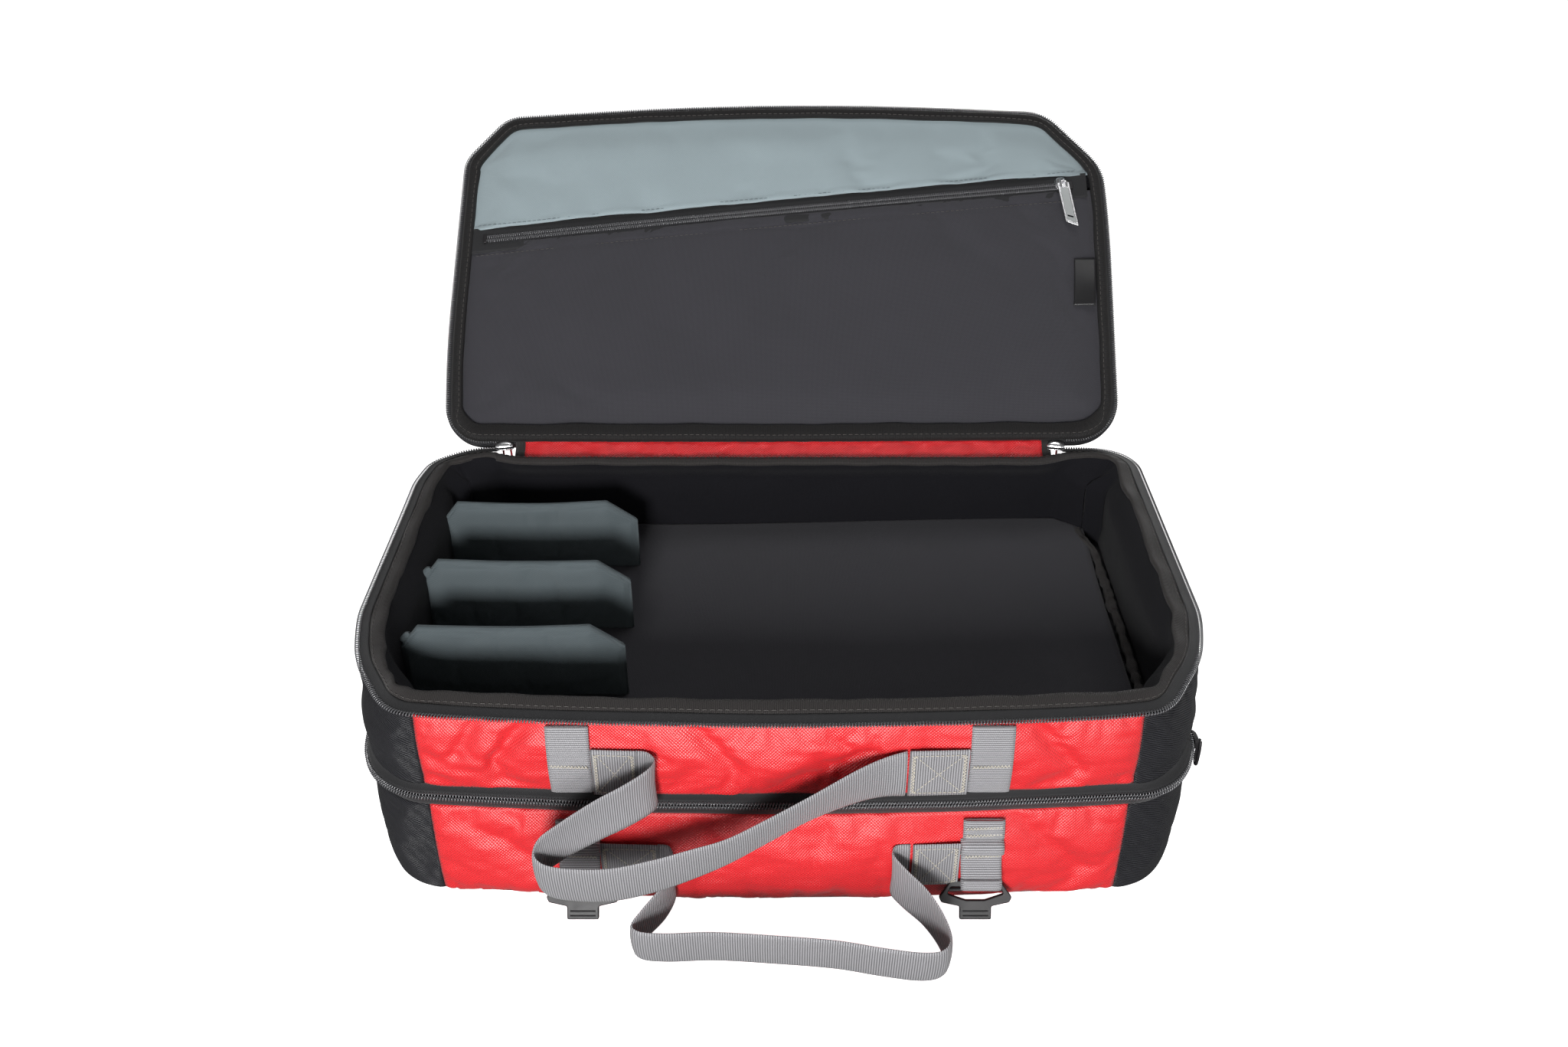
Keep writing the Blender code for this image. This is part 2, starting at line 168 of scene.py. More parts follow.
def quarter(centre, radii, start, steps=40):
    angles = np.radians(np.linspace(start, start + 90, steps))
    return np.stack([centre[0] + radii[0] * np.cos(angles), centre[1] + radii[1] * np.sin(angles)], 1)


def rounded(corners, steps=10):
    """A closed outline whose corners, each (x, y, cut), are rounded from cut before them to cut after."""
    points = []
    for (ax, ay, _), (bx, by, cut), (cx, cy, _) in zip(corners[-1:] + corners[:-1], corners,
                                                      corners[1:] + corners[:1]):
        corner = np.array((bx, by))
        start = corner + unit((ax - bx, ay - by)) * cut
        end = corner + unit((cx - bx, cy - by)) * cut
        for t in np.linspace(0, 1, steps):
            points.append((1 - t) ** 2 * start + 2 * t * (1 - t) * corner + t * t * end)
    return np.array(points)


def box_outline(width, length, radius, steps=5):
    """A rectangle's outline with rounded corners, centred on the origin."""
    x, y = width / 2 - radius, length / 2 - radius
    return np.concatenate([quarter((cx, cy), (radius, radius), start, steps)
                           for cx, cy, start in ((x, -y, -90), (x, y, 0), (-x, y, 90), (-x, -y, 180))])


# ---------------------------------------------------------------- round the case

def plan():
    """Round the outer cloth, anticlockwise from the back's left corner: each run's points."""
    x = np.linspace(-CENTRE_HALF, CENTRE_HALF, 240)
    front = np.stack([x, CORNER_Y - BOW * (1 - (x / CENTRE_HALF) ** 2)], 1)
    near = quarter((CENTRE_HALF, CORNER_Y + CORNER_FRONT), (CORNER_ACROSS, CORNER_FRONT), -90)
    far = quarter((CENTRE_HALF, BACK_Y - CORNER_REAR), (CORNER_ACROSS, CORNER_REAR), 0)
    side = np.linspace(near[-1], far[0], 60)[1:-1]
    right = np.concatenate([near, side, far])
    left = right[::-1] * (-1, 1)
    back = np.linspace((CENTRE_HALF, BACK_Y), (-CENTRE_HALF, BACK_Y), 120)
    return [left, front, right, back]


RUNS = plan()
LOOP = np.concatenate([run[:-1] for run in RUNS] + [RUNS[0][:1]])
LOOP_S = lengths(LOOP)
MARKS = np.concatenate([[0.0], np.cumsum([lengths(run)[-1] for run in RUNS])])
S_LEFT, S_FRONT, S_RIGHT, S_BACK, S_TOTAL = MARKS
LOOP_T = tangents(LOOP[:-1], closed=True)
LOOP_T = np.concatenate([LOOP_T, LOOP_T[:1]])
LOOP_N = np.stack([LOOP_T[:, 1], -LOOP_T[:, 0]], 1)


def around(s, out, z):
    """Points at distance s round the case, out from its outer cloth, at height z."""
    s, out, z = np.broadcast_arrays(np.asarray(s, float), out, z)
    at = np.mod(s, S_TOTAL)
    x, y, nx, ny = (np.interp(at, LOOP_S, v) for v in (*LOOP.T, *LOOP_N.T))
    long = np.maximum(np.hypot(nx, ny), 1e-9)
    return np.stack([x + nx / long * out, y + ny / long * out, z], -1)


def facing(s):
    """The outward direction at s."""
    return unit(around(s, 1.0, 0.0) - around(s, 0.0, 0.0))


def padding_depth(s):
    """How far inside the outer cloth the padding's faceted inner face is, at s."""
    start, way = around(s, 0.0, 0.0)[:, :2], -facing(s)[:, :2]
    best = np.full(len(start), 0.05)
    corners = np.array(PADDING_PLAN)
    for a, b in zip(corners, np.roll(corners, -1, 0)):
        edge = b - a
        cross = way[:, 0] * edge[1] - way[:, 1] * edge[0]
        cross = np.where(np.abs(cross) < 1e-9, 1e-9, cross)
        d = ((a[0] - start[:, 0]) * edge[1] - (a[1] - start[:, 1]) * edge[0]) / cross
        k = ((a[0] - start[:, 0]) * way[:, 1] - (a[1] - start[:, 1]) * way[:, 0]) / cross
        good = (d > 0) & (k > -0.001) & (k < 1.001)
        best = np.where(good, np.minimum(best, d), best)
    return best


def lid_world(points):
    """Points of the closed lid's frame, hinge axis at the origin and the lid towards -Y, swung open."""
    points = np.asarray(points, float)
    c, s = math.cos(-LID_OPEN), math.sin(-LID_OPEN)
    x, y, z = points[..., 0], points[..., 1], points[..., 2]
    return np.stack([x, y * c - z * s, y * s + z * c], -1) + LID_AXIS


# ---------------------------------------------------------------- materials

class Graph:
    """Builds a material's nodes."""

    def __init__(self, name):
        self.material = bpy.data.materials.new(name)
        self.material.use_nodes = True
        self.tree = self.material.node_tree
        self.shader = self.tree.nodes["Principled BSDF"]

    def node(self, kind, **settings):
        made = self.tree.nodes.new(kind)
        for key, value in settings.items():
            setattr(made, key, value)
        return made

    def put(self, socket, value):
        if isinstance(value, bpy.types.NodeSocket):
            self.tree.links.new(value, socket)
        else:
            socket.default_value = value

    def math(self, operation, *values):
        made = self.node("ShaderNodeMath", operation=operation)
        for socket, value in zip(made.inputs, values):
            self.put(socket, value)
        return made.outputs[0]

    def blend(self, factor, a, b):
        made = self.node("ShaderNodeMix", data_type="RGBA")
        self.put(made.inputs[0], factor)
        for socket, value in ((made.inputs[6], a), (made.inputs[7], b)):
            self.put(socket, (*value, 1.0) if isinstance(value, tuple) else value)
        return made.outputs[2]

    def cloth(self):
        """The distances along and across the cloth."""
        read = self.node("ShaderNodeAttribute", attribute_name="cloth")
        split = self.node("ShaderNodeSeparateXYZ")
        self.put(split.inputs[0], read.outputs["Vector"])
        return read.outputs["Vector"], split.outputs[0], split.outputs[1]

    def place(self):
        return self.node("ShaderNodeTexCoord").outputs["Object"]

    def noise(self, where, size, detail=3.0, rough_share=0.5):
        made = self.node("ShaderNodeTexNoise")
        self.put(made.inputs["Vector"], where)
        made.inputs["Scale"].default_value = 1.0 / size
        made.inputs["Detail"].default_value = detail
        made.inputs["Roughness"].default_value = rough_share
        return made.outputs[0]

    def wave(self, value, period):
        """A row of round yarns: 0 between them and 1 on top."""
        share = self.math("FRACT", self.math("DIVIDE", value, period))
        return self.math("SINE", self.math("MULTIPLY", share, math.pi))

    def basket(self, u, v, cell):
        """Height of a plain weave with this spacing between yarns."""
        across, along = self.wave(u, cell), self.wave(v, cell)
        cells = self.math("ADD", self.math("FLOOR", self.math("DIVIDE", u, cell)),
                          self.math("FLOOR", self.math("DIVIDE", v, cell)))
        parity = self.math("FLOORED_MODULO", cells, 2.0)
        warp = self.math("MULTIPLY", across, self.math("MULTIPLY_ADD", along, 0.45, 0.55))
        weft = self.math("MULTIPLY", along, self.math("MULTIPLY_ADD", across, 0.35, 0.35))
        made = self.node("ShaderNodeMix")
        for socket, value in zip((made.inputs[0], made.inputs[2], made.inputs[3]), (parity, warp, weft)):
            self.put(socket, value)
        return made.outputs[0]

    def knobs(self, u, v, cell):
        """Height of a ballistic weave: round knobs in staggered rows, with small pits between them."""
        across = self.math("COSINE", self.math("MULTIPLY", u, math.pi / cell))
        along = self.math("COSINE", self.math("MULTIPLY", v, math.pi / cell))
        height = self.math("MULTIPLY_ADD", self.math("MULTIPLY", across, along), 0.5, 0.5)
        return self.math("POWER", height, 0.55)

    def bump(self, height, distance, strength=1.0, under=None):
        made = self.node("ShaderNodeBump")
        made.inputs["Strength"].default_value = strength
        made.inputs["Distance"].default_value = distance
        self.put(made.inputs["Height"], height)
        if under is not None:
            self.put(made.inputs["Normal"], under)
        return made.outputs[0]

    def finish(self, colour, roughness, normal, sheen=0.0, metallic=0.0, specular=0.5):
        inputs = self.shader.inputs
        self.put(inputs["Base Color"], colour)
        self.put(inputs["Roughness"], roughness)
        if normal is not None:
            self.put(inputs["Normal"], normal)
        inputs["Metallic"].default_value = metallic
        inputs["Sheen Weight"].default_value = sheen
        inputs["Sheen Roughness"].default_value = 0.5
        inputs["Specular IOR Level"].default_value = specular
        return self.material


def woven(name, low, high, cell, depth, roughness, sheen=0.2, specular=0.4, wear=0.12, weave="basket"):
    """Woven cloth: low is the colour between the yarns and high on top of them."""
    g = Graph(name)
    where, u, v = g.cloth()
    height = getattr(g, weave)(u, v, cell)
    patches = g.noise(where, 0.035, 4.0, 0.6)
    colour = g.blend(g.math("POWER", height, 0.7), low, high)
    worn = tuple(min(1.0, c * 1.35 + 0.01) for c in high)
    colour = g.blend(g.math("MULTIPLY", patches, wear), colour, worn)
    fuzz = g.noise(where, 0.0006, 2.0)
    normal = g.bump(g.math("MULTIPLY_ADD", fuzz, 0.25, height), depth)
    gloss = g.math("MULTIPLY_ADD", patches, 0.15, roughness - 0.07)
    return g.finish(colour, gloss, normal, sheen, specular=specular)


def ribbed(name, low, high, period, depth, roughness, slope=0.0, yarn=0.0007, sheen=0.1, specular=0.4):
    """Ribs that run across the cloth's length, or lean by slope; finer yarns cross them."""
    g = Graph(name)
    where, u, v = g.cloth()
    leaning = g.math("MULTIPLY_ADD", v, slope, u)
    rib = g.wave(leaning, period)
    thread = g.wave(g.math("MULTIPLY_ADD", u, 0.35, v), yarn)
    height = g.math("MULTIPLY_ADD", thread, 0.28, rib)
    patches = g.noise(where, 0.02, 3.0, 0.6)
    share = g.math("POWER", g.math("MULTIPLY", rib, g.math("MULTIPLY_ADD", thread, 0.35, 0.65)), 0.8)
    colour = g.blend(share, low, high)
    colour = g.blend(g.math("MULTIPLY", patches, 0.3), colour, tuple(c * 0.7 for c in high))
    return g.finish(colour, g.math("MULTIPLY_ADD", patches, 0.12, roughness - 0.06), g.bump(height, depth),
                    sheen, specular=specular)


def moulded(name, colour, roughness, grain=0.0004, depth=0.00004, specular=0.5):
    g = Graph(name)
    where = g.place()
    speck = g.noise(where, grain, 2.0)
    wear = g.noise(where, 0.006, 3.0)
    tone = g.blend(g.math("MULTIPLY", wear, 0.35), colour, tuple(c * 1.7 + 0.004 for c in colour))
    return g.finish(tone, g.math("MULTIPLY_ADD", wear, 0.2, roughness - 0.1), g.bump(speck, depth),
                    specular=specular)


def plated(name, colour, roughness):
    g = Graph(name)
    where = g.place()
    scuff = g.noise(where, 0.003, 4.0, 0.7)
    tone = g.blend(scuff, tuple(c * 0.82 for c in colour), colour)
    gloss = g.math("MULTIPLY_ADD", scuff, 0.18, roughness)
    return g.finish(tone, gloss, g.bump(scuff, 0.00003), metallic=1.0)


TWILL_SLOPE = math.tan(math.radians(68.0))     # the ribs fall to the right, 22 degrees off level
RED = woven("red_ballistic", (0.30, 0.0010, 0.002), (0.66, 0.015, 0.021), WEAVE, 0.00030, 0.40,
            sheen=0.06, specular=0.65, wear=0.06, weave="knobs")
# The charcoal lining cloth, darkened as painted shade for the inner walls and the lower floor; the same cloth
# has a lighter copy below
SHADED_LINING = woven("charcoal_lining_shaded_copy", (0.0016, 0.0016, 0.0024), (0.0070, 0.0068, 0.0095), 0.0007, 0.00010,
               0.80, sheen=0.04, specular=0.12)
# The same charcoal lining cloth, lightened as painted light for the tray's mat and the lid's black panel
LIT_LINING = woven("charcoal_lining_lit_copy", (0.0100, 0.0100, 0.0120), (0.0470, 0.0455, 0.0545), 0.0007, 0.00010,
               0.75, sheen=0.12, specular=0.25)
TWILLED = ribbed("black_twill_cloth", (0.0012, 0.0012, 0.0016), (0.026, 0.026, 0.030),
                 TWILL / math.cos(math.atan(TWILL_SLOPE)), 0.00050, 0.42,
                 slope=TWILL_SLOPE, yarn=0.0008, sheen=0.0, specular=0.24)
# The blue-grey cloth, lightened as painted light for the lid's pocket panel; the same cloth has a darker copy
# below
LIT_GREY = ribbed("blue_grey_cloth_lit_copy", (0.150, 0.190, 0.205), (0.340, 0.410, 0.435), 0.0010, 0.00010, 0.70,
              slope=1.0, yarn=0.0006, sheen=0.15, specular=0.3)
# The same blue-grey cloth, darkened as painted shade for the dividers
SHADED_GREY = ribbed("blue_grey_cloth_shaded_copy", (0.028, 0.037, 0.041), (0.110, 0.136, 0.146), 0.0010, 0.00014,
                    0.65, slope=1.0, yarn=0.0006, sheen=0.10, specular=0.3)
WEB = ribbed("grey_webbing_weave", (0.018, 0.018, 0.020), (0.33, 0.325, 0.34), RIB, 0.0003, 0.50,
             yarn=0.0011, specular=0.45)
BINDING = ribbed("black_grosgrain", (0.0030, 0.0025, 0.0025), (0.030, 0.026, 0.025), GROSGRAIN, 0.0002, 0.65,
                 yarn=0.0008, specular=0.3)
DARK_BINDING = ribbed("dark_grosgrain", (0.0020, 0.0018, 0.0018), (0.0120, 0.0110, 0.0112), GROSGRAIN, 0.0002,
                      0.60, yarn=0.0008, sheen=0.05, specular=0.25)
TAPE = ribbed("zip_tape_cloth", (0.003, 0.003, 0.003), (0.020, 0.020, 0.022), 0.0008, 0.0001, 0.65,
              slope=0.6, yarn=0.0006, specular=0.3)
SATIN = ribbed("black_satin_tab", (0.0020, 0.0020, 0.0025), (0.0120, 0.0115, 0.0125), 0.0005, 0.00003, 0.38,
               yarn=0.0005, sheen=0.05, specular=0.45)
# Dark nylon coil whose grey is lifted as painted highlight, standing in for the glints on its teeth
COIL = moulded("zip_coil_nylon_painted_highlight", (0.075, 0.075, 0.080), 0.24, specular=0.9)
PLASTIC = moulded("black_acetal", (0.010, 0.009, 0.010), 0.45, specular=0.35)
METAL = plated("bright_nickel", (0.88, 0.88, 0.90), 0.14)
BRUSHED = plated("satin_nickel", (0.48, 0.50, 0.50), 0.38)
THREAD_GREY = moulded("grey_thread", (0.40, 0.37, 0.31), 0.6)
THREAD_BLACK = moulded("black_thread", (0.050, 0.045, 0.042), 0.55)
THREAD_BLUE = moulded("blue_grey_thread", (0.10, 0.125, 0.135), 0.6)


# ---------------------------------------------------------------- meshes

def cloth_distances(grid):
    """Distance along and across a grid of points, from its first corner."""
    along = np.zeros(grid.shape[0])
    along[1:] = np.cumsum(np.linalg.norm(np.diff(grid, axis=0), axis=2).mean(1))
    across = np.zeros(grid.shape[1])
    across[1:] = np.cumsum(np.linalg.norm(np.diff(grid, axis=1), axis=2).mean(0))
    return np.stack(np.broadcast_arrays(along[:, None], across[None, :], 0.0), -1)


def mesh_object(name, verts, faces, material, cloth=None):
    mesh = bpy.data.meshes.new(name)
    mesh.from_pydata([tuple(v) for v in np.reshape(verts, (-1, 3))], [], faces)
    mesh.polygons.foreach_set("use_smooth", [True] * len(mesh.polygons))
    if cloth is not None:
        made = mesh.attributes.new("cloth", "FLOAT_VECTOR", "POINT")
        made.data.foreach_set("vector", np.reshape(cloth, -1).astype(np.float32))
    mesh.materials.append(material)
    thing = bpy.data.objects.new(name, mesh)
    bpy.context.scene.collection.objects.link(thing)
    return thing


def grid_faces(rows, columns, closed_rows=False, closed_columns=False):
    faces = []
    for i in range(rows if closed_rows else rows - 1):
        for j in range(columns if closed_columns else columns - 1):
            a, b = i % rows, (i + 1) % rows
            c, d = j % columns, (j + 1) % columns
            faces.append((a * columns + c, b * columns + c, b * columns + d, a * columns + d))
    return faces


def cloth_sheet(name, grid, material, thickness=0.0009, turn=False, cloth=None):
    """Cloth through a grid of points, its outer face on the side of rows x columns or, turned, the other."""
    cloth = cloth_distances(grid) if cloth is None else cloth
    faces = grid_faces(*grid.shape[:2])
    if turn:
        faces = [f[::-1] for f in faces]
    thing = mesh_object(name, grid, faces, material, cloth)
    if thickness:
        solid = thing.modifiers.new("thickness", "SOLIDIFY")
        solid.thickness = thickness
        solid.offset = -1.0
    return thing


def swept(name, sections, material, closed=True):
    """A closed solid through its sections, an array of rings; closed if the last ring joins the first."""
    rows, columns = sections.shape[:2]
    cloth = np.zeros((rows, columns, 3))
    along = np.zeros(rows)
    along[1:] = np.cumsum(np.linalg.norm(np.diff(sections, axis=0), axis=2).mean(1))
    across = np.zeros(columns)
    across[1:] = np.cumsum(np.linalg.norm(np.diff(sections, axis=1), axis=2).mean(0))
    cloth[..., 0], cloth[..., 1] = along[:, None], across[None, :]
    faces = grid_faces(rows, columns, closed, True)
    if not closed:
        faces += [tuple(range(columns))[::-1], tuple((rows - 1) * columns + j for j in range(columns))]
    return mesh_object(name, sections, faces, material, cloth)


def ribbon(name, centre, across, width, thickness, material, cup=0.0):
    """Flat webbing along a line, its ribs and serrated edges modelled."""
    centre, across = resample(centre, RIB / 2, across)
    across = unit(across)
    way = tangents(centre)
    out = unit(np.cross(way, across))
    rows = len(centre)
    ridge = np.where(np.arange(rows) % 2 == 0, 1.0, 0.0)[:, None]
    steps = np.linspace(-1, 1, 13)[None, :]
    half = width / 2 * (1 - 0.006 * (1 - ridge))
    body = thickness / 2 * (0.86 + 0.14 * ridge)
    edge = np.sqrt(np.clip(1 - steps ** 8, 0, 1)) * 0.75 + 0.25
    curve = cup * (1 - steps ** 2)
    face = lambda sign: (centre[:, None] + across[:, None] * (half * steps)[..., None]
                         + out[:, None] * (curve + sign * body * edge)[..., None])
    sections = np.concatenate([face(1.0), face(-1.0)[:, ::-1]], 1)
    thing = swept(name, sections, material, closed=False)
    flat = np.zeros((rows, sections.shape[1], 3))
    flat[..., 0] = (np.arange(rows) * RIB / 2 + RIB / 2)[:, None]
    v = np.concatenate([steps[0], steps[0][::-1]]) * width / 2
    flat[..., 1] = v[None, :]
    thing.data.attributes["cloth"].data.foreach_set("vector", flat.reshape(-1).astype(np.float32))
    return thing


class Stitches:
    """Collects stitches, each a short raised loop of thread, and makes one piece of them."""

    def __init__(self, name, body, material, radius=0.00026):
        self.name, self.body, self.material, self.radius = name, body, material, radius
        self.verts, self.faces = [], []

    def stitch(self, a, b, normal):
        a, b, normal = np.array(a), np.array(b), unit(normal)
        side = unit(np.cross(b - a, normal))
        radius, first = self.radius, len(self.verts)
        for share, lift in ((0.0, -0.6), (0.18, 0.55), (0.82, 0.55), (1.0, -0.6)):
            middle = a + (b - a) * share + normal * radius * lift
            for angle in (0, 72, 144, 216, 288):
                turn = math.radians(angle)
                self.verts.append(middle + radius * (side * math.cos(turn) + normal * math.sin(turn)))
        for ring in range(3):
            for k in range(5):
                p, q = first + ring * 5 + k, first + ring * 5 + (k + 1) % 5
                self.faces.append((p, q, q + 5, p + 5))
        self.faces += [tuple(first + k for k in range(5))[::-1], tuple(first + 15 + k for k in range(5))]

    def line(self, points, normals, length=0.0026, gap=0.0012):
        """Stitches along a line of points."""
        spacing = 0.0005
        points, normals = resample(points, spacing, np.broadcast_to(normals, np.shape(points)))
        step, reach = max(2, round((length + gap) / spacing)), max(1, round(length / spacing))
        for i in range(0, len(points) - reach, step):
            self.stitch(points[i], points[i + reach], normals[i])

    def zigzag(self, a, b, across, normal, pitch=0.0011):
        """A bartack from a to b: across is half its width as a vector."""
        a, b, across = np.array(a), np.array(b), np.array(across)
        steps = max(2, int(np.linalg.norm(b - a) / pitch))
        points = [a + (b - a) * i / steps + across * (1 if i % 2 else -1) for i in range(steps + 1)]
        for p, q in zip(points, points[1:]):
            self.stitch(p, q, normal)

    def make(self):
        thing = mesh_object(self.name, np.array(self.verts), self.faces, self.material)
        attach(thing, self.body)
        return thing


def coil(name, centre, out, up, material=COIL, reach=0.0016, height=0.0011, pitch=COIL_PITCH, phase=0.0):
    """A zip's coil: a wire wound round the line, flattened towards out."""
    turns_at = 8
    line, ways = resample(centre, pitch / turns_at, np.concatenate([out, up], 1))
    out, up = unit(ways[:, :3]), unit(ways[:, 3:])
    angle = (np.arange(len(line)) / turns_at + phase) * 2 * math.pi
    path = line + out * (reach * np.cos(angle))[:, None] + up * (height * np.sin(angle))[:, None]
    way = tangents(path)
    radial = unit(out * np.cos(angle)[:, None] + up * np.sin(angle)[:, None])
    other = unit(np.cross(way, radial))
    ring = [radial * math.cos(a) + other * math.sin(a) for a in np.radians((0, 90, 180, 270))]
    sections = np.stack([path + COIL_WIRE * r for r in ring], 1)
    return swept(name, sections, material, closed=False)


def plate(name, outline, thickness, material, place, holes=(), bevel=0.0004):
    """A moulded or stamped plate with rounded edges, placed by a matrix."""
    curve = bpy.data.curves.new(name, "CURVE")
    curve.dimensions = "2D"
    curve.fill_mode = "BOTH"
    curve.extrude = thickness / 2 - bevel
    curve.bevel_depth = bevel
    curve.bevel_resolution = 2
    curve.offset = -bevel
    for points in (outline, *holes):
        spline = curve.splines.new("POLY")
        spline.points.add(len(points) - 1)
        for point, (x, y) in zip(spline.points, points):
            point.co = (x, y, 0, 1)
        spline.use_cyclic_u = True
    holder = bpy.data.objects.new(name, curve)
    bpy.context.scene.collection.objects.link(holder)
    mesh = bpy.data.meshes.new_from_object(holder)
    bpy.data.objects.remove(holder)
    mesh.transform(place)
    mesh.materials.clear()
    mesh.materials.append(material)
    mesh.polygons.foreach_set("use_smooth", [False] * len(mesh.polygons))
    thing = bpy.data.objects.new(name, mesh)
    bpy.context.scene.collection.objects.link(thing)
    return thing


def joined(name, parts, material):
    """One piece from several closed meshes."""
    verts, faces = [], []
    for part in parts:
        first = len(verts)
        verts += [tuple(part.matrix_world @ v.co) for v in part.data.vertices]
        faces += [tuple(first + i for i in p.vertices) for p in part.data.polygons]
        bpy.data.objects.remove(part)
    thing = mesh_object(name, verts, faces, material)
    thing.data.set_sharp_from_angle(angle=math.radians(35))
    return thing


def domed(name, outline, height, material, place, crown=5):
    """A flat-bottomed button whose top is crowned."""
    outline = np.asarray(outline, float)
    rings = [np.concatenate([outline * math.cos(a), np.full((len(outline), 1), height * math.sin(a))], 1)
             for a in np.linspace(0, math.radians(80), crown)]
    thing = swept(name, np.array(rings), material, closed=False)
    thing.data.transform(place)
    return thing


def rod(name, points, radius, material, closed=False, sides=8):
    """A round wire along a line of points."""
    points = np.asarray(points, float)
    way = tangents(points, closed)
    side = unit(np.cross(way, (0.31, 0.17, 0.94)))
    up = np.cross(side, way)
    ring = [side * math.cos(a) + up * math.sin(a) for a in np.arange(sides) * 2 * math.pi / sides]
    return swept(name, np.stack([points + radius * r for r in ring], 1), material, closed)


def settle(grid, pinned, grow=0.03, push=0.5, bend=0.5, frames=16, cap=0.006, free=1.0):
    """The grid after a cloth simulation. Its cloth is cut larger than its pinned edge by grow, so it buckles;
    push is the padding's pressure on it, cap the furthest a point may move and free each point's share."""
    scale = 10.0
    thing = mesh_object("settling", grid * scale, grid_faces(*grid.shape[:2]), SHADED_LINING)
    group = thing.vertex_groups.new(name="pinned")
    group.add([int(i) for i in np.flatnonzero(pinned.reshape(-1))], 1.0, "REPLACE")
    modifier = thing.modifiers.new("cloth", "CLOTH")
    cloth = modifier.settings
    cloth.quality = 6
    cloth.bending_stiffness = bend
    cloth.vertex_group_mass = "pinned"
    cloth.shrink_min = -grow
    cloth.effector_weights.gravity = 0.0
    cloth.use_pressure = push != 0
    cloth.uniform_pressure_force = push
    modifier.point_cache.frame_start, modifier.point_cache.frame_end = 1, frames
    for number in range(1, frames + 1):
        bpy.context.scene.frame_set(number)
    shown = thing.evaluated_get(bpy.context.evaluated_depsgraph_get()).to_mesh()
    settled = np.empty(len(shown.vertices) * 3)
    shown.vertices.foreach_get("co", settled)
    bpy.data.objects.remove(thing)
    bpy.context.scene.frame_set(1)
    moved = settled.reshape(grid.shape) / scale - grid
    far = np.linalg.norm(moved, axis=-1, keepdims=True)
    moved = moved * cap * np.tanh(far / cap) / np.maximum(far, 1e-9)
    return grid + moved * np.broadcast_to(free, grid.shape[:2])[..., None]


def edges(grid):
    """True at the border points of a grid."""
    border = np.zeros(grid.shape[:2], bool)
    border[[0, -1]] = True
    border[:, [0, -1]] = True
    return border


def cut_size(grid):
    """Width and length of the flat cloth that a grid of points is cut from."""
    along, across = cloth_distances(grid)[-1, -1, :2]
    return float(along), float(across)


def dress(thing, body, stands_for=()):
    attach(thing, body)
    if stands_for:
        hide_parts(*stands_for)
    return thing


# ---------------------------------------------------------------- camera, floor and light

def look(location, target):
    return (Vector(target) - Vector(location)).to_track_quat("-Z", "Y").to_euler()


LAMPS = [                # each its name, place, width and power
    ("bounce", (0.0, -1.3, 0.06), 0.6, 8.0), ("key", (-0.25, -1.9, 0.80), 0.40, 43.0),
    ("left", (-1.6, -0.9, 0.65), 0.8, 2.0), ("right", (1.6, -0.9, 0.65), 0.8, 2.0),
    ("top", (0.2, 0.5, 1.9), 0.8, 7.0), ("back", (0.6, 2.0, 0.7), 0.8, 16.0)]
FLOOR_HALF = 80.0
FLOOR_GLOW = 0.97
HORIZON_GLOW = 1.0       # the studio's white sweep
ROOM_GLOW = 0.13         # and the darker room over and under it


def studio_world():
    """A white sweep at the horizon in a darker room, so that light comes in low."""
    world = bpy.data.worlds.new("studio")
    world.use_nodes = True
    tree = world.node_tree
    split = tree.nodes.new("ShaderNodeSeparateXYZ")
    fade = tree.nodes.new("ShaderNodeMapRange")
    fade.interpolation_type = "SMOOTHSTEP"
    for socket, value in zip(fade.inputs[1:5], (0.10, 0.28, HORIZON_GLOW, ROOM_GLOW)):
        socket.default_value = value
    tree.links.new(tree.nodes.new("ShaderNodeTexCoord").outputs["Generated"], split.inputs[0])
    height = tree.nodes.new("ShaderNodeMath")
    height.operation = "ABSOLUTE"
    tree.links.new(split.outputs[2], height.inputs[0])
    tree.links.new(height.outputs[0], fade.inputs[0])
    tree.nodes["Background"].inputs[0].default_value = (1.0, 1.0, 1.0, 1.0)
    tree.links.new(fade.outputs[0], tree.nodes["Background"].inputs[1])
    return world


def studio():
    scene = bpy.context.scene
    data = bpy.data.cameras.new("camera")
    data.sensor_width = 36.0
    data.lens = 31.5
    camera = bpy.data.objects.new("camera", data)
    camera.location = (0.0031, -0.756, 0.6913)
    camera.rotation_euler = (math.radians(90.0 - 33.746), 0, 0)
    scene.collection.objects.link(camera)
    scene.camera = camera
    scene.view_settings.view_transform = "Standard"
    scene.world = studio_world()
    for name, location, size, power in LAMPS:
        light = bpy.data.lights.new(name, "AREA")
        light.size = size
        light.energy = power
        lamp = bpy.data.objects.new(name, light)
        lamp.location = location
        lamp.rotation_euler = look(location, (0, 0, 0.12))
        lamp.visible_camera = False
        scene.collection.objects.link(lamp)
    graph = Graph("white_sweep")
    speck = graph.noise(graph.place(), 0.4, 2.0)
    graph.finish(graph.blend(speck, (0.90, 0.90, 0.90), (0.93, 0.93, 0.93)), 0.7, None)
    graph.shader.inputs["Emission Color"].default_value = (1.0, 1.0, 1.0, 1.0)
    graph.shader.inputs["Emission Strength"].default_value = FLOOR_GLOW
    corners = np.array([(-1, -1, 0), (1, -1, 0), (1, 1, 0), (-1, 1, 0)]) * FLOOR_HALF - (0, 0, 0.0002)
    floor = mesh_object("floor", corners, [(0, 1, 2, 3)], graph.material)
    floor.visible_diffuse = floor.visible_glossy = False


studio()


# ---------------------------------------------------------------- outer walls

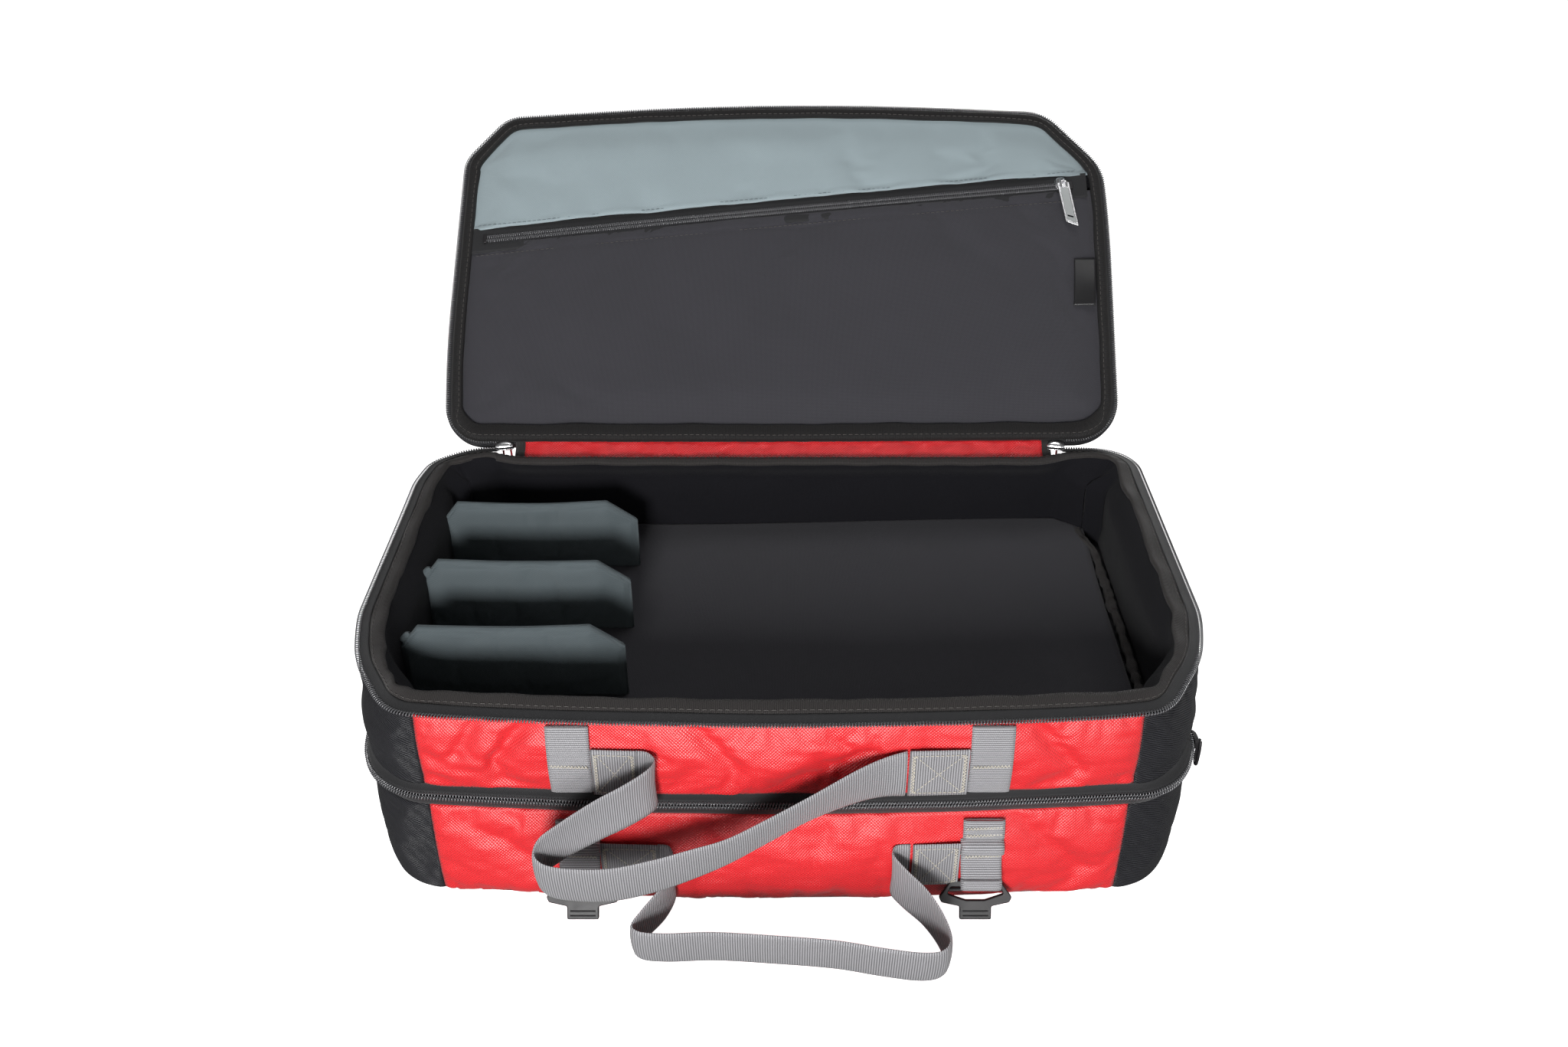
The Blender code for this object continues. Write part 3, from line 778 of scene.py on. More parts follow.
WALL_STEP = 0.0022
FOLD_SHARE = {"red_polyester": 1.4, "black_twill": 0.5}     # how strongly each outer cloth is creased
DENT_SHARE = 1.7
RUN_ENDS = {"left_end": (S_LEFT, S_FRONT), "front_panel": (S_FRONT, S_RIGHT), "right_end": (S_RIGHT, S_BACK),
            "back_panel": (S_BACK, S_TOTAL)}
FRONT_TURN = lengths(RUNS[2])[39]          # how long a front corner's curve is
FRONT_DENTS = [              # hollows in the front cloth, each (x, z) to (x, z), its width and depth
    (-0.1760, 0.152, -0.1880, 0.133, 0.0050, 0.0024), (-0.1480, 0.152, -0.1640, 0.128, 0.0055, 0.0034),
    (-0.1950, 0.118, -0.1560, 0.104, 0.0060, 0.0014), (-0.0500, 0.150, -0.0300, 0.128, 0.0060, 0.0020),
    (0.0100, 0.112, 0.0450, 0.128, 0.0070, 0.0018), (0.1500, 0.148, 0.1720, 0.122, 0.0060, 0.0022),
    (-0.1900, 0.066, -0.1600, 0.046, 0.0070, 0.0018), (0.1500, 0.070, 0.1800, 0.040, 0.0070, 0.0018)]


def corner_share(s):
    """1 in the middle of each front corner, falling to 0 beyond it."""
    return (np.exp(-((s - S_FRONT + FRONT_TURN / 2) / 0.028) ** 2)
            + 1.3 * np.exp(-((s - S_RIGHT - FRONT_TURN / 2) / 0.030) ** 2))


def rim_flare(s):
    """How far the rim's zip stands out: proud along the ends and drawn in at the front corners."""
    right = smooth(s, S_RIGHT + 0.066, S_RIGHT + 0.125) * (1 - smooth(s, S_BACK - 0.045, S_BACK - 0.004))
    left = smooth(s, S_LEFT + 0.035, S_LEFT + 0.085) * (1 - smooth(s, S_FRONT - 0.125, S_FRONT - 0.066))
    return 0.0080 * right + 0.0075 * left - 0.0058 * corner_share(s)


def rear_share(s):
    """1 along the back and 0 round the ends and the front."""
    inside = np.where(s < S_BACK / 2, -s, np.minimum(s - S_BACK, S_TOTAL - s))
    return smooth(inside, -0.012, 0.022)


def band_bulge(s):
    """How far the split's zip band stands out: more round the front corners."""
    return 0.0030 + 0.0020 * np.minimum(corner_share(s), 1.0)


def creases(s, z, seed):
    """Height of the folds in the outer cloth."""
    lean = s + 0.9 * z
    broad = rough(lean, z * 2.2, 0.045, seed) * 0.0016
    folds = rough(lean * 0.8 + z * 1.6, z * 3.2 - s * 0.25, 0.020, seed + 3) * 0.0009
    return broad + np.abs(folds) * 1.4 - 0.0004


def dents(x, z):
    """Depth of the hollows pressed into the front."""
    deep = np.zeros_like(x)
    for ax, az, bx, bz, width, depth in FRONT_DENTS:
        share = ((x - ax) * (bx - ax) + (z - az) * (bz - az)) / ((bx - ax) ** 2 + (bz - az) ** 2)
        share = np.clip(share, -0.3, 1.3)
        away = np.hypot(x - ax - share * (bx - ax), z - az - share * (bz - az))
        deep += depth * np.exp(-(away / width) ** 2)
    return deep * DENT_SHARE


def webbing_hold(x):
    """How freely the front cloth may bulge at x: little where webbing is sewn across it."""
    return 1 - 0.8 * np.exp(-((np.abs(x) - 0.106) / 0.036) ** 4)


def outer_wall(tier, run, low, high, seed):
    """One outer panel of a tier, swollen, creased and settled between its sewn edges."""
    start, end = RUN_ENDS[run]
    s = np.linspace(start, end, int((end - start) / WALL_STEP) + 1)[:, None]
    t = np.linspace(0, 1, 28)[None, :]
    s, t = np.broadcast_arrays(s, t)
    red = run in ("front_panel", "back_panel")
    slot = "red_polyester" if red else "black_twill"
    swell = 0.0028 if red else 0.0022
    edge = np.minimum(s - start, end - s)
    inset = smooth(edge, 0.0, 0.012)
    if tier == "upper":
        foot = low + rough(s, s * 0, 0.05, seed) * 0.0020 * inset
        z = foot + (high - foot) * t
        out = swell * np.sin(np.pi * t) ** 0.8 + 0.0018 * (1 - smooth(t, 0.0, 0.12))
        out = out + rim_flare(s) * smooth(t, 0.35, 1.0) - 0.0016 * corner_share(s) * (1 - t)
        out = out - 0.0125 * rear_share(s) * smooth(t, 0.55, 1.0) ** 1.5
    else:
        z = low + (high - low) * t
        out = swell * np.sin(np.pi * t) ** 0.8 - 0.0045 * (1 - smooth(t, 0.0, 0.10)) ** 2
    fade = np.sin(np.pi * t) ** 0.6
    out = out + creases(s, z, seed) * fade * FOLD_SHARE[slot] * (0.25 + 0.75 * inset)
    out = out - 0.0008 * (1 - smooth(edge, 0.0, 0.004))
    grid = around(s, out, z)
    free = np.ones(s.shape)
    if run == "front_panel":
        grid = around(s, out - dents(grid[..., 0], z) * fade, z)
        free = webbing_hold(grid[..., 0])
    grid = settle(grid, edges(grid), 0.030 if red else 0.015, 0.25, 0.4, cap=0.0045, free=free)
    thing = cloth_sheet(f"{tier}_{run}_cloth", grid, RED if red else TWILLED, 0.0012)
    cut_size(grid)
    dress(thing, f"{tier}_tier", [f"{tier}_{run}"])


for index, run_name in enumerate(RUN_ENDS):
    outer_wall("upper", run_name, SPLIT_Z + 0.0085, RIM_Z - 0.0022, 1.0 + index)
    outer_wall("lower", run_name, 0.0008, SPLIT_Z - 0.0100, 11.0 + index)


# ---------------------------------------------------------------- zips round the case

def three_sides(step=0.0015):
    """Distances round both ends and the front."""
    return np.linspace(S_LEFT + 0.001, S_BACK - 0.001, int((S_BACK - S_LEFT) / step))


def split_zip():
    """The zip between the tiers: a deep tape above its coils and a flat one below them."""
    s = three_sides()
    upright = np.tile((0, 0, 1.0), (len(s), 1))
    proud = band_bulge(s)
    wavy = rough(s, s * 0, 0.06, 5.0) * 0.0008
    for tier, sign in (("upper", 1), ("lower", -1)):
        t = np.linspace(0, 1, 9)[None, :]
        reach = 0.0112 if sign > 0 else 0.0106
        z = SPLIT_Z + sign * (0.0022 + (reach - 0.0022) * t) + wavy[:, None]
        hollow = np.sin(np.pi * t) * (0.0022 if sign > 0 else -0.0004)
        out = proud[:, None] * (1 - t) ** (2.2 if sign > 0 else 0.8) - hollow - 0.0006 * t
        grid = around(s[:, None], out, z)
        tape = cloth_sheet(f"mid_zip_{tier}_cloth", grid, TAPE, 0.0008, turn=sign < 0)
        dress(tape, f"{tier}_tier", [f"mid_zip_{tier}_tape"])
        line = around(s, proud + 0.0003, SPLIT_Z + sign * 0.0014 + wavy)
        wound = coil(f"mid_zip_{tier}_coil", line, facing(s), upright, reach=0.0010, height=0.0012,
                     phase=0.5 if sign > 0 else 0.0)
        dress(wound, f"{tier}_tier")


split_zip()


def press(piece):
    """Gives the piece a mesh of its own."""
    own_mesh(piece)


def rim_zip():
    s = three_sides()
    out, z = rim_flare(s) + 0.0012, RIM_Z - 0.0010 + rough(s, s * 0, 0.08, 8.0) * 0.0006
    line = around(s, out, z)
    upright = np.tile((0, 0, 1.0), (len(s), 1))
    wound = coil("rim_zip_coil", line, facing(s), upright, reach=0.0017, height=0.0010)
    dress(wound, "upper_tier")
    t = np.linspace(0, 1, 7)[None, :]
    rise = 0.0020 * t ** 1.4 - 0.0002
    grid = around(s[:, None], out[:, None] - 0.0008 - 0.0068 * t, z[:, None] + rise)
    tape = cloth_sheet("rim_zip_cloth", grid, TAPE, 0.0008, turn=True)
    dress(tape, "upper_tier", ["rim_zip_tape"])
    press(tape)


rim_zip()


def binding_band(s):
    """The rim binding's outer and inner edges, as distances out from the body."""
    rear = rear_share(s)
    wide = 0.0112 - 0.0040 * np.minimum(corner_share(s), 1.0)
    return lerp(rim_flare(s) - 0.0056, -0.0132, rear), lerp(rim_flare(s) - 0.0056 - wide, -0.0268, rear)


def puckers(s):
    """Sideways and upward waves of the rim's binding."""
    lively = 0.30 + 0.70 * (np.exp(-((s - S_FRONT + 0.03) / 0.07) ** 2) + np.exp(-((s - 0.06) / 0.06) ** 2)
                            + 0.5 * np.exp(-((s - S_RIGHT - 0.15) / 0.12) ** 2))
    sideways = rough(s, s * 0, 0.020, 21.0) * 0.0036 * lively
    upward = rough(s, s * 0, 0.026, 23.0) * 0.0026 * lively
    return sideways, upward


def rim_binding():
    """The ribbed tape folded over the rim's raw edge, with a line of stitches along it."""
    s = np.linspace(0, S_TOTAL, 2 * int(S_TOTAL / (GROSGRAIN / 2) / 2), endpoint=False)
    ridge = np.arange(len(s)) % 2
    sideways, upward = puckers(s)
    outer, inner = binding_band(s)
    at = lambda share, lift: around(s, lerp(outer, inner, share) + sideways * (0.2 + 0.8 * share),
                                    RIM_Z - 0.0010 + lift + upward * (0.2 + 0.8 * share))
    profile = ((0.0, -0.0020), (0.0, 0.0006), (0.10, 0.0021), (0.35, 0.0036), (0.65, 0.0048), (0.90, 0.0052),
               (1.0, 0.0042), (1.0, 0.0022), (0.86, 0.0012), (0.45, -0.0022))
    sections = [at(share, lift + ridge * (0.00014 if 0 < share < 1 else 0.0)) for share, lift in profile]
    ring = swept("rim_binding_cloth", np.stack(sections, 1)[:, ::-1], BINDING)
    dress(ring, "upper_tier", ["rim_binding"])
    press(ring)
    sew = Stitches("rim_binding_stitches", "upper_tier", THREAD_BLACK, 0.00024)
    seam = at(0.24, 0.0032)
    sew.line(np.concatenate([seam, seam[:1]]), (0, 0, 1.0), 0.0029, 0.0015)
    press(sew.make())


rim_binding()


# ---------------------------------------------------------------- padded inside of each tier

# Where the lining has upright folds, near the rear corners
FOLDS_AT = np.array([S_BACK - 0.036, S_BACK - 0.070, S_LEFT + 0.040, S_LEFT + 0.074])


def inner_walls(tier, low, high, seed, stands_for):
    """The padded lining inside a tier's four walls."""
    s = np.linspace(0, S_TOTAL, int(S_TOTAL / 0.003))[:-1]
    depth = padding_depth(s)[:, None]
    t = np.linspace(0, 1, 16)[None, :]
    z = low + (high - low) * t
    corners = np.array(PADDING_PLAN)
    here = around(s, -depth[:, 0], 0.0)[:, :2]
    facet = corners[[0, 1, 2, 3, 7, 8, 9, 10]]
    near = np.min(np.linalg.norm(here[:, None] - facet[None], axis=2), axis=1)[:, None]
    top = -binding_band(s)[1][:, None] if tier == "upper" else 0.0115
    deep = lerp(depth, top - 0.0008, smooth(t, 0.72, 1.0))
    pillow = 0.0022 * smooth(near, 0.0, 0.03) * np.sin(np.pi * t) ** 0.7
    lumps = rough(s[:, None] + z * 0, z * 1.5, 0.05, seed) * 0.0016 * np.sin(np.pi * t)
    fold = np.exp(-((s[:, None] - FOLDS_AT[:, None, None]) / 0.0035) ** 2).sum(0) * 0.0026 * np.sin(np.pi * t)
    grid = around(s[:, None], -(deep + pillow + lumps - fold), z)
    grid = np.concatenate([grid, grid[:1]])
    thing = cloth_sheet(f"{tier}_padding_cloth", grid, SHADED_LINING, 0.0, turn=True)
    dress(thing, f"{tier}_tier", stands_for)
    if tier == "upper":
        press(thing)


inner_walls("upper", FLOOR_Z - 0.0008, RIM_Z + 0.0022, 31.0,
            [f"upper_{side}_padding" for side in ("front", "back", "left", "right")])
inner_walls("lower", BOARD_Z, SPLIT_Z - 0.0030, 37.0,
            [f"lower_{side}_padding" for side in ("front", "back", "left", "right")])


def plan_range(x, inset):
    """The padding's near and far faces at x, less an inset."""
    corners = np.array(PADDING_PLAN)
    low, high = np.full_like(x, 1.0), np.full_like(x, -1.0)
    for a, b in zip(corners, np.roll(corners, -1, 0)):
        if abs(a[0] - b[0]) < 1e-6:
            continue
        share = (x - a[0]) / (b[0] - a[0])
        y = a[1] + (b[1] - a[1]) * share
        inside = (share >= 0) & (share <= 1)
        low = np.where(inside & (y < low), y, low)
        high = np.where(inside & (y > high), y, high)
    return low + inset, high - inset


def floor_cloth(name, left, right, height, body, stands_for, seed, material):
    """Cloth laid over the floor from left to right; height gives its height at x and y."""
    x = np.linspace(left, right, int((right - left) / 0.004))
    near, far = plan_range(x, -0.0015)
    t = np.linspace(0, 1, 64)[None, :]
    y = near[:, None] + (far - near)[:, None] * t
    x = np.broadcast_to(x[:, None], y.shape)
    across = np.minimum(y - near[:, None], far[:, None] - y)
    border = np.minimum(across, np.minimum(x - left, right - x) + 0.002)
    lumps = rough(x, y, 0.09, seed) * 0.0016 + rough(x, y, 0.03, seed + 1) * 0.0005
    z = height(x, y) + lumps * smooth(border, 0, 0.03)
    grid = np.stack([x, y, z], -1)
    thing = cloth_sheet(name, grid, material, 0.0008)
    dress(thing, body, stands_for)


def mat_height(x, y):
    """The tray's mat: raised a little towards its back right corner."""
    raised = 0.0060 * smooth(x, -0.10, 0.22) * smooth(y, 0.02, 0.135)
    return FLOOR_Z + 0.0008 + raised


floor_cloth("tray_mat_cloth", -0.2425, 0.2330, mat_height, "upper_tier", ["tray_mat", "tray_mat_left"], 41.0,
            LIT_LINING)
floor_cloth("lower_floor_cloth", -0.2425, 0.2425, lambda x, y: BOARD_Z + 0.0008 + x * 0, "lower_tier",
            ["base_board"], 43.0, SHADED_LINING)


def bottom_cloth(name, inset, height, body, stands_for):
    """The cloth under a tier, flat and turned up a little at its edge."""
    s = np.linspace(0, S_TOTAL, int(S_TOTAL / 0.004))[:, None]
    share = np.linspace(0, 1, 24)[None, :] ** 1.5
    edge = around(s, -inset, height)
    middle = np.array((0.0, -0.004, height))
    lift = 0.0012 * (1 - smooth(share, 0.0, 0.05))[..., None] * (0, 0, 1.0)
    grid = edge + (middle - edge) * share[..., None] * 0.999 + lift
    thing = cloth_sheet(name, grid, TWILLED, 0.0008, turn=True, cloth=grid)
    dress(thing, body, [stands_for])


bottom_cloth("base_cloth", 0.0042, 0.0, "lower_tier", "base_panel")
bottom_cloth("tray_underside_cloth", 0.0010, SPLIT_Z + 0.0004, "upper_tier", "tray_board")


def edge_trim():
    """The gathered edge of the mat along the tray's right side."""
    low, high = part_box("tray_edge_trim")
    y = np.linspace(low.y - 0.022, high.y + 0.004, 150)
    wander = rough(y, y * 0, 0.035, 51.0) * 0.0035
    x = (low.x + high.x) / 2 + wander
    x = x - 0.010 * smooth(y, 0.085, 0.119)
    gather = rough(y, y * 0, 0.0055, 53.0)
    half = 0.0030 + 0.0012 * gather
    lift = 0.0042 + 0.0018 * rough(y, y * 0, 0.007, 57.0) + 0.0035 * smooth(y, 0.06, 0.115)
    profile = ((-1.0, 0.0), (-0.9, 0.55), (-0.4, 0.95), (0.1, 0.8), (0.5, 1.05), (0.95, 0.6), (1.0, 0.0))
    height = lambda share, rise: FLOOR_Z + 0.0006 + rise * lift + gather * share * 0.0008
    sections = [np.stack([x + half * share, y, height(share, rise)], 1) for share, rise in profile]
    strip = swept("tray_edge_trim_cloth", np.stack(sections, 1), BINDING, closed=False)
    dress(strip, "upper_tier", ["tray_edge_trim"])


edge_trim()


# ---------------------------------------------------------------- dividers

DIVIDER_CORNERS = (0.013, 0.022)     # how long its upper corners' cuts are, at the wall and at its free end
DIVIDER_CUT = 0.017                  # how far down they go

DIVIDER_SHIFT = {"front": (-0.001, -0.0015), "middle": (-0.0030, -0.0045), "rear": (-0.0040, -0.0065)}


def divider_reach(place_name):
    """A divider's extent; the ones further back reach a little nearer the wall."""
    low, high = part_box(f"divider_{place_name}")
    low.x += DIVIDER_SHIFT[place_name][0]
    high.x += DIVIDER_SHIFT[place_name][1]
    return low, high


def divider_layer(place_name, side):
    """One of a divider's two padded layers; side is -1 for the front one."""
    low, high = divider_reach(place_name)
    middle = (low.y + high.y) / 2
    u = np.linspace(0, 1, 100)[:, None]
    v = 1 - (1 - np.linspace(0, 1, 40)[None, :]) ** 1.6
    x = low.x + (high.x - low.x) * u
    left_cut = np.clip(1 - (x - low.x) / DIVIDER_CORNERS[0], 0, 1) * DIVIDER_CUT
    right_cut = np.clip(1 - (high.x - x) / DIVIDER_CORNERS[1], 0, 1) * DIVIDER_CUT
    sag = (0.0030 if place_name == "rear" else 0.0018) * np.sin(np.pi * u) ** 1.5
    top = high.z - left_cut - right_cut - sag
    x, z = np.broadcast_arrays(x, low.z + (top - low.z) * v)
    edge = np.minimum(np.minimum(x - low.x, high.x - x), np.minimum(top - z, z - low.z + 0.004))
    puff = 0.0020 * smooth(edge, -0.0004, 0.0009) + 0.0020 * (1 - np.exp(-np.maximum(edge, 0) / 0.006))
    seam = 0.0005 * np.exp(-((edge - 0.0030) / 0.0006) ** 2)
    lumps = rough(x, z, 0.03, 61.0 + side + middle * 9) * 0.0006 * smooth(edge, 0, 0.01)
    lean = rough(x, z * 0.6, 0.09, 67.0 + middle * 5) * 0.0024 * smooth(v, 0.1, 1.0)
    face = middle + side * (0.0002 + puff - seam + lumps) + lean
    outer_grid = np.stack([x, face, z], -1)
    if side < 0:
        outer_grid = settle(outer_grid, edges(outer_grid), 0.010, 0.3, 0.4, 10, 0.0010)
    inner_grid = np.stack([x, np.broadcast_to(middle + side * 0.0001, face.shape) + lean, z], -1)
    sections = np.concatenate([outer_grid, inner_grid[:, ::-1]], 1)
    if side > 0:
        sections = sections[:, ::-1]
    face_name = "front" if side < 0 else "rear"
    layer = swept(f"divider_{place_name}_{face_name}_layer", sections, SHADED_GREY, closed=False)
    stands_for = [f"divider_{place_name}"] if side < 0 else []
    dress(layer, f"divider_{place_name}", stands_for)


def divider_tab(place_name):
    """The little turned-in tab at a divider's upper corner by the wall."""
    low, high = divider_reach(place_name)
    middle = (low.y + high.y) / 2
    start = np.array((low.x + 0.0020, middle, high.z - DIVIDER_CUT + 0.0030))
    end = np.array((low.x + 0.0080, middle, high.z - 0.0070))
    line = resample([start, end], 0.0008)
    out = unit(np.array((-(end - start)[2], 0, (end - start)[0])))
    angle = np.linspace(0, 2 * np.pi, 14, endpoint=False)
    ring = out * 0.0034 * np.cos(angle)[:, None] + np.array((0, 1.0, 0)) * 0.0026 * np.sin(angle)[:, None]
    size = np.sqrt(np.clip(1 - np.linspace(-0.96, 0.96, len(line)) ** 4, 0, 1))
    sections = line[:, None] + ring[None] * size[:, None, None]
    tab = swept(f"divider_{place_name}_tab", sections, SHADED_GREY, closed=False)
    dress(tab, f"divider_{place_name}")


for divider_name in ("front", "middle", "rear"):
    divider_layer(divider_name, -1)
    divider_layer(divider_name, 1)
for divider_name in ("front", "middle"):
    divider_tab(divider_name)


# ---------------------------------------------------------------- lid

def lid_outline(step):
    """The lid's outline at even spacing, its outward directions and how near each point is to the hinge."""
    ring = rounded(LID_CORNERS)
    ring = np.concatenate([ring, ring[:1]])
    count = 2 * int(lengths(ring)[-1] / step / 2)
    line = resample(ring, lengths(ring)[-1] / count)[:-1]
    way = tangents(line, closed=True)
    return line, np.stack([way[:, 1], -way[:, 0]], 1), smooth(line[:, 1], -0.030, -0.010)


def lid_at(line, way, out, z):
    """Points of the open lid: out from its outline, z deep from its inner face."""
    flat = line + way * np.broadcast_to(out, len(line))[:, None]
    return lid_world(np.concatenate([flat, np.broadcast_to(z, len(line))[:, None]], 1))


def lid_place(x, y, z, turn=0.0):
    """Where a flat piece lies on the lid's inner face, its own +Z towards whoever looks in."""
    return (Matrix.Translation(Vector(lid_world((x, y, z)))) @ Matrix.Rotation(math.pi - LID_OPEN, 4, "X")
            @ Matrix.Rotation(turn, 4, "Z"))


def lid_spans(x, inset):
    """The lid's far and near edges at x, inside its outline by inset."""
    line, way, _ = lid_outline(0.002)
    ring = line - way * inset
    ring = np.roll(ring, -int(np.argmin(ring[:, 0])), 0)
    turn = int(np.argmax(ring[:, 0]))
    far, near = ring[:turn + 1], np.concatenate([ring[turn:], ring[:1]])[::-1]
    return np.interp(x, *far.T), np.interp(x, *near.T)


def across_lid(inset, count):
    """Values of x across the lid, closer together towards its sides."""
    ring = rounded(LID_CORNERS)
    low, high = ring[:, 0].min() + inset + 0.0003, ring[:, 0].max() - inset - 0.0003
    return low + (high - low) * (0.5 - 0.5 * np.cos(np.linspace(0, np.pi, count)))


LID_OUT = unit(lid_world((0, 0, -1.0)) - LID_AXIS)      # from the lid's inner face towards whoever looks in
LID_NEARER = unit(lid_world((0, 1.0, 0)) - LID_AXIS)    # along that face towards the hinge
POCKET_X = 0.250
POCKET_Y = (-0.1735, -0.2260)
FOLD_AWAY = 0.0092           # from the pocket's zip to the grey panel's folded edge
SEAM_AWAY = 0.0148           # and to the seam on its other side


def pocket_y(x):
    """The pocket zip's line across the lid, sagging a little."""
    straight = lerp(POCKET_Y[0], POCKET_Y[1], (x + POCKET_X) / (2 * POCKET_X))
    return straight - 0.0018 * (1 - (x / POCKET_X) ** 2)


def lid_panel(name, side, material, stands_for, seed):
    """The cloth of the lid's inner face: side is -1 beyond the pocket's zip and 1 towards the hinge."""
    inset = 0.0112
    x = across_lid(inset, 190)
    far, near = lid_spans(x, inset)
    line = pocket_y(x) + np.where(side < 0, -FOLD_AWAY, 0.0040) + rough(x, x * 0, 0.05, seed + 5) * 0.0008
    line = np.clip(line, far + 0.0002, near - 0.0002)
    start, end = (far, line) if side < 0 else (line, near)
    t = np.linspace(0, 1, 40 if side < 0 else 84)[None, :]
    y = start[:, None] + (end - start)[:, None] * t
    xx = np.broadcast_to(x[:, None], y.shape)
    edge = np.minimum(np.minimum(y - far[:, None], near[:, None] - y), np.minimum(xx - x[0], x[-1] - xx))
    soft = smooth(edge, 0.0, 0.040)
    lumps = rough(xx, y, 0.08, seed) * 0.0022 + rough(xx, y, 0.028, seed + 1) * 0.0007
    z = 0.0006 - 0.0030 * soft + lumps * soft
    away = np.abs(y - line[:, None])
    if side < 0:
        z = z - 0.0016 * (1 - smooth(away, 0.0015, 0.0060))
    else:
        z = z + 0.0010 * np.exp(-((away - SEAM_AWAY + 0.0040) / 0.0016) ** 2) * soft
    grid = np.stack([xx, y, z], -1)
    grid = settle(grid, edges(grid), 0.012, -0.15, 0.6, cap=0.0022, free=smooth(edge, 0.0, 0.03))
    panel = cloth_sheet(name, lid_world(grid), material, 0.0008, turn=True)
    dress(panel, "lid", stands_for)
    return x, line


def lid_inside():
    x, fold = lid_panel("pocket_grey_cloth", -1, LIT_GREY, ["pocket_grey_panel"], 71.0)
    lid_panel("pocket_black_cloth", 1, LIT_LINING, ["pocket_black_panel", "lid_lining"], 73.0)
    inside = np.abs(x) < 0.2440
    for name, thread, y, z in (("pocket_grey_stitches", THREAD_BLUE, fold - 0.0022, -0.0043),
                               ("pocket_black_stitches", THREAD_BLACK, pocket_y(x) + SEAM_AWAY, -0.0031)):
        sew = Stitches(name, "lid", thread, 0.00024)
        sew.line(lid_world(np.stack([x, y, np.full_like(x, z)], 1))[inside], LID_OUT, 0.0026, 0.0014)
        sew.make()
    x = np.linspace(-POCKET_X, POCKET_X, 300)
    y = pocket_y(x)
    t = np.linspace(-1, 1, 9)[None, :]
    tape_y = y[:, None] + 0.0112 * t
    grid = np.stack([np.broadcast_to(x[:, None], tape_y.shape), tape_y,
                     np.broadcast_to(-0.0012 - 0.0006 * (1 - t ** 2), tape_y.shape)], -1)
    tape = cloth_sheet("pocket_zip_cloth", lid_world(grid), TAPE, 0.0006, turn=True)
    dress(tape, "lid", ["pocket_zip_tape"])
    x = np.linspace(-0.2360, 0.2350, 300)
    many = lambda v: np.repeat(v[None], len(x), 0)
    for row, offset in (("far", -0.0017), ("near", 0.0017)):
        line = np.stack([x, pocket_y(x) + offset, np.full_like(x, -0.0026)], 1)
        wound = coil(f"pocket_zip_coil_{row}", lid_world(line), many(LID_NEARER), many(LID_OUT), reach=0.0015,
                     height=0.0009, pitch=0.0015, phase=0.5 if row == "far" else 0.0)
        dress(wound, "lid")
    stops = [plate("stop", box_outline(0.0030, 0.0070, 0.0006), 0.0022, PLASTIC,
                   lid_place(at, float(pocket_y(at)), -0.0026, math.radians(6))) for at in (-0.2372, 0.2368)]
    dress(joined("pocket_zip_ends", stops, PLASTIC), "lid")


lid_inside()


def lid_edges():
    """The binding, tape and coil round the lid."""
    line, way, near = lid_outline(GROSGRAIN / 2)
    ridge = (np.arange(len(line)) % 2) * 0.00014
    along = lengths(line)
    wave = rough(along, along * 0, 0.030, 81.0) * 0.0012
    heave = rough(along, along * 0, 0.040, 83.0) * 0.0007
    inner, outer = -0.0125 + wave - 0.0012 * near, lerp(-0.0040, -0.0004, near)
    profile = ((0.0, 0.0008), (0.0, -0.0022), (0.10, -0.0032), (0.45, -0.0037),
               (0.80, -0.0031), (1.0, -0.0014), (1.0, 0.0010), (0.5, 0.0022))
    at = lambda share, z: lid_at(line, way, lerp(inner, outer, share), z + heave)
    sections = np.stack([at(share, z - ridge * (z < -0.002)) for share, z in profile], 1)
    ring = swept("lid_binding_cloth", sections[:, ::-1], DARK_BINDING)
    dress(ring, "lid", ["lid_binding"])
    sew = Stitches("lid_binding_stitches", "lid", THREAD_BLACK, 0.00024)
    seam = at(lerp(0.24, 0.70, near), -0.0037)
    sew.line(np.concatenate([seam, seam[:1]]), LID_OUT, 0.0029, 0.0015)
    sew.make()
    line, way, near = lid_outline(0.0015)
    profile = ((-0.0052, 0.0012), (-0.0026, 0.0008), (-0.0008, 0.0012), (0.0002, 0.0024))
    reach = np.stack([lid_at(line, way, out, z) for out, z in profile], 1)
    tape = cloth_sheet("lid_zip_cloth", np.concatenate([reach, reach[:1]]), TAPE, 0.0007)
    dress(tape, "lid", ["lid_zip_tape"])
    keep = ~((np.abs(line[:, 0]) < 0.2175) & (line[:, 1] > -0.05))
    first = int(np.flatnonzero(keep & ~np.roll(keep, 1))[0])
    index = (first + np.arange(int(keep.sum()))) % len(line)
    centre = lid_at(line, way, -0.0008, 0.0010)[index]
    out = unit(lid_at(line, way, 1.0, 0.0) - lid_at(line, way, 0.0, 0.0))[index]
    up = np.repeat(LID_OUT[None], len(index), 0)
    wound = coil("lid_zip_coil", centre, out, up, reach=0.0015, height=0.0010)
    dress(wound, "lid")


lid_edges()


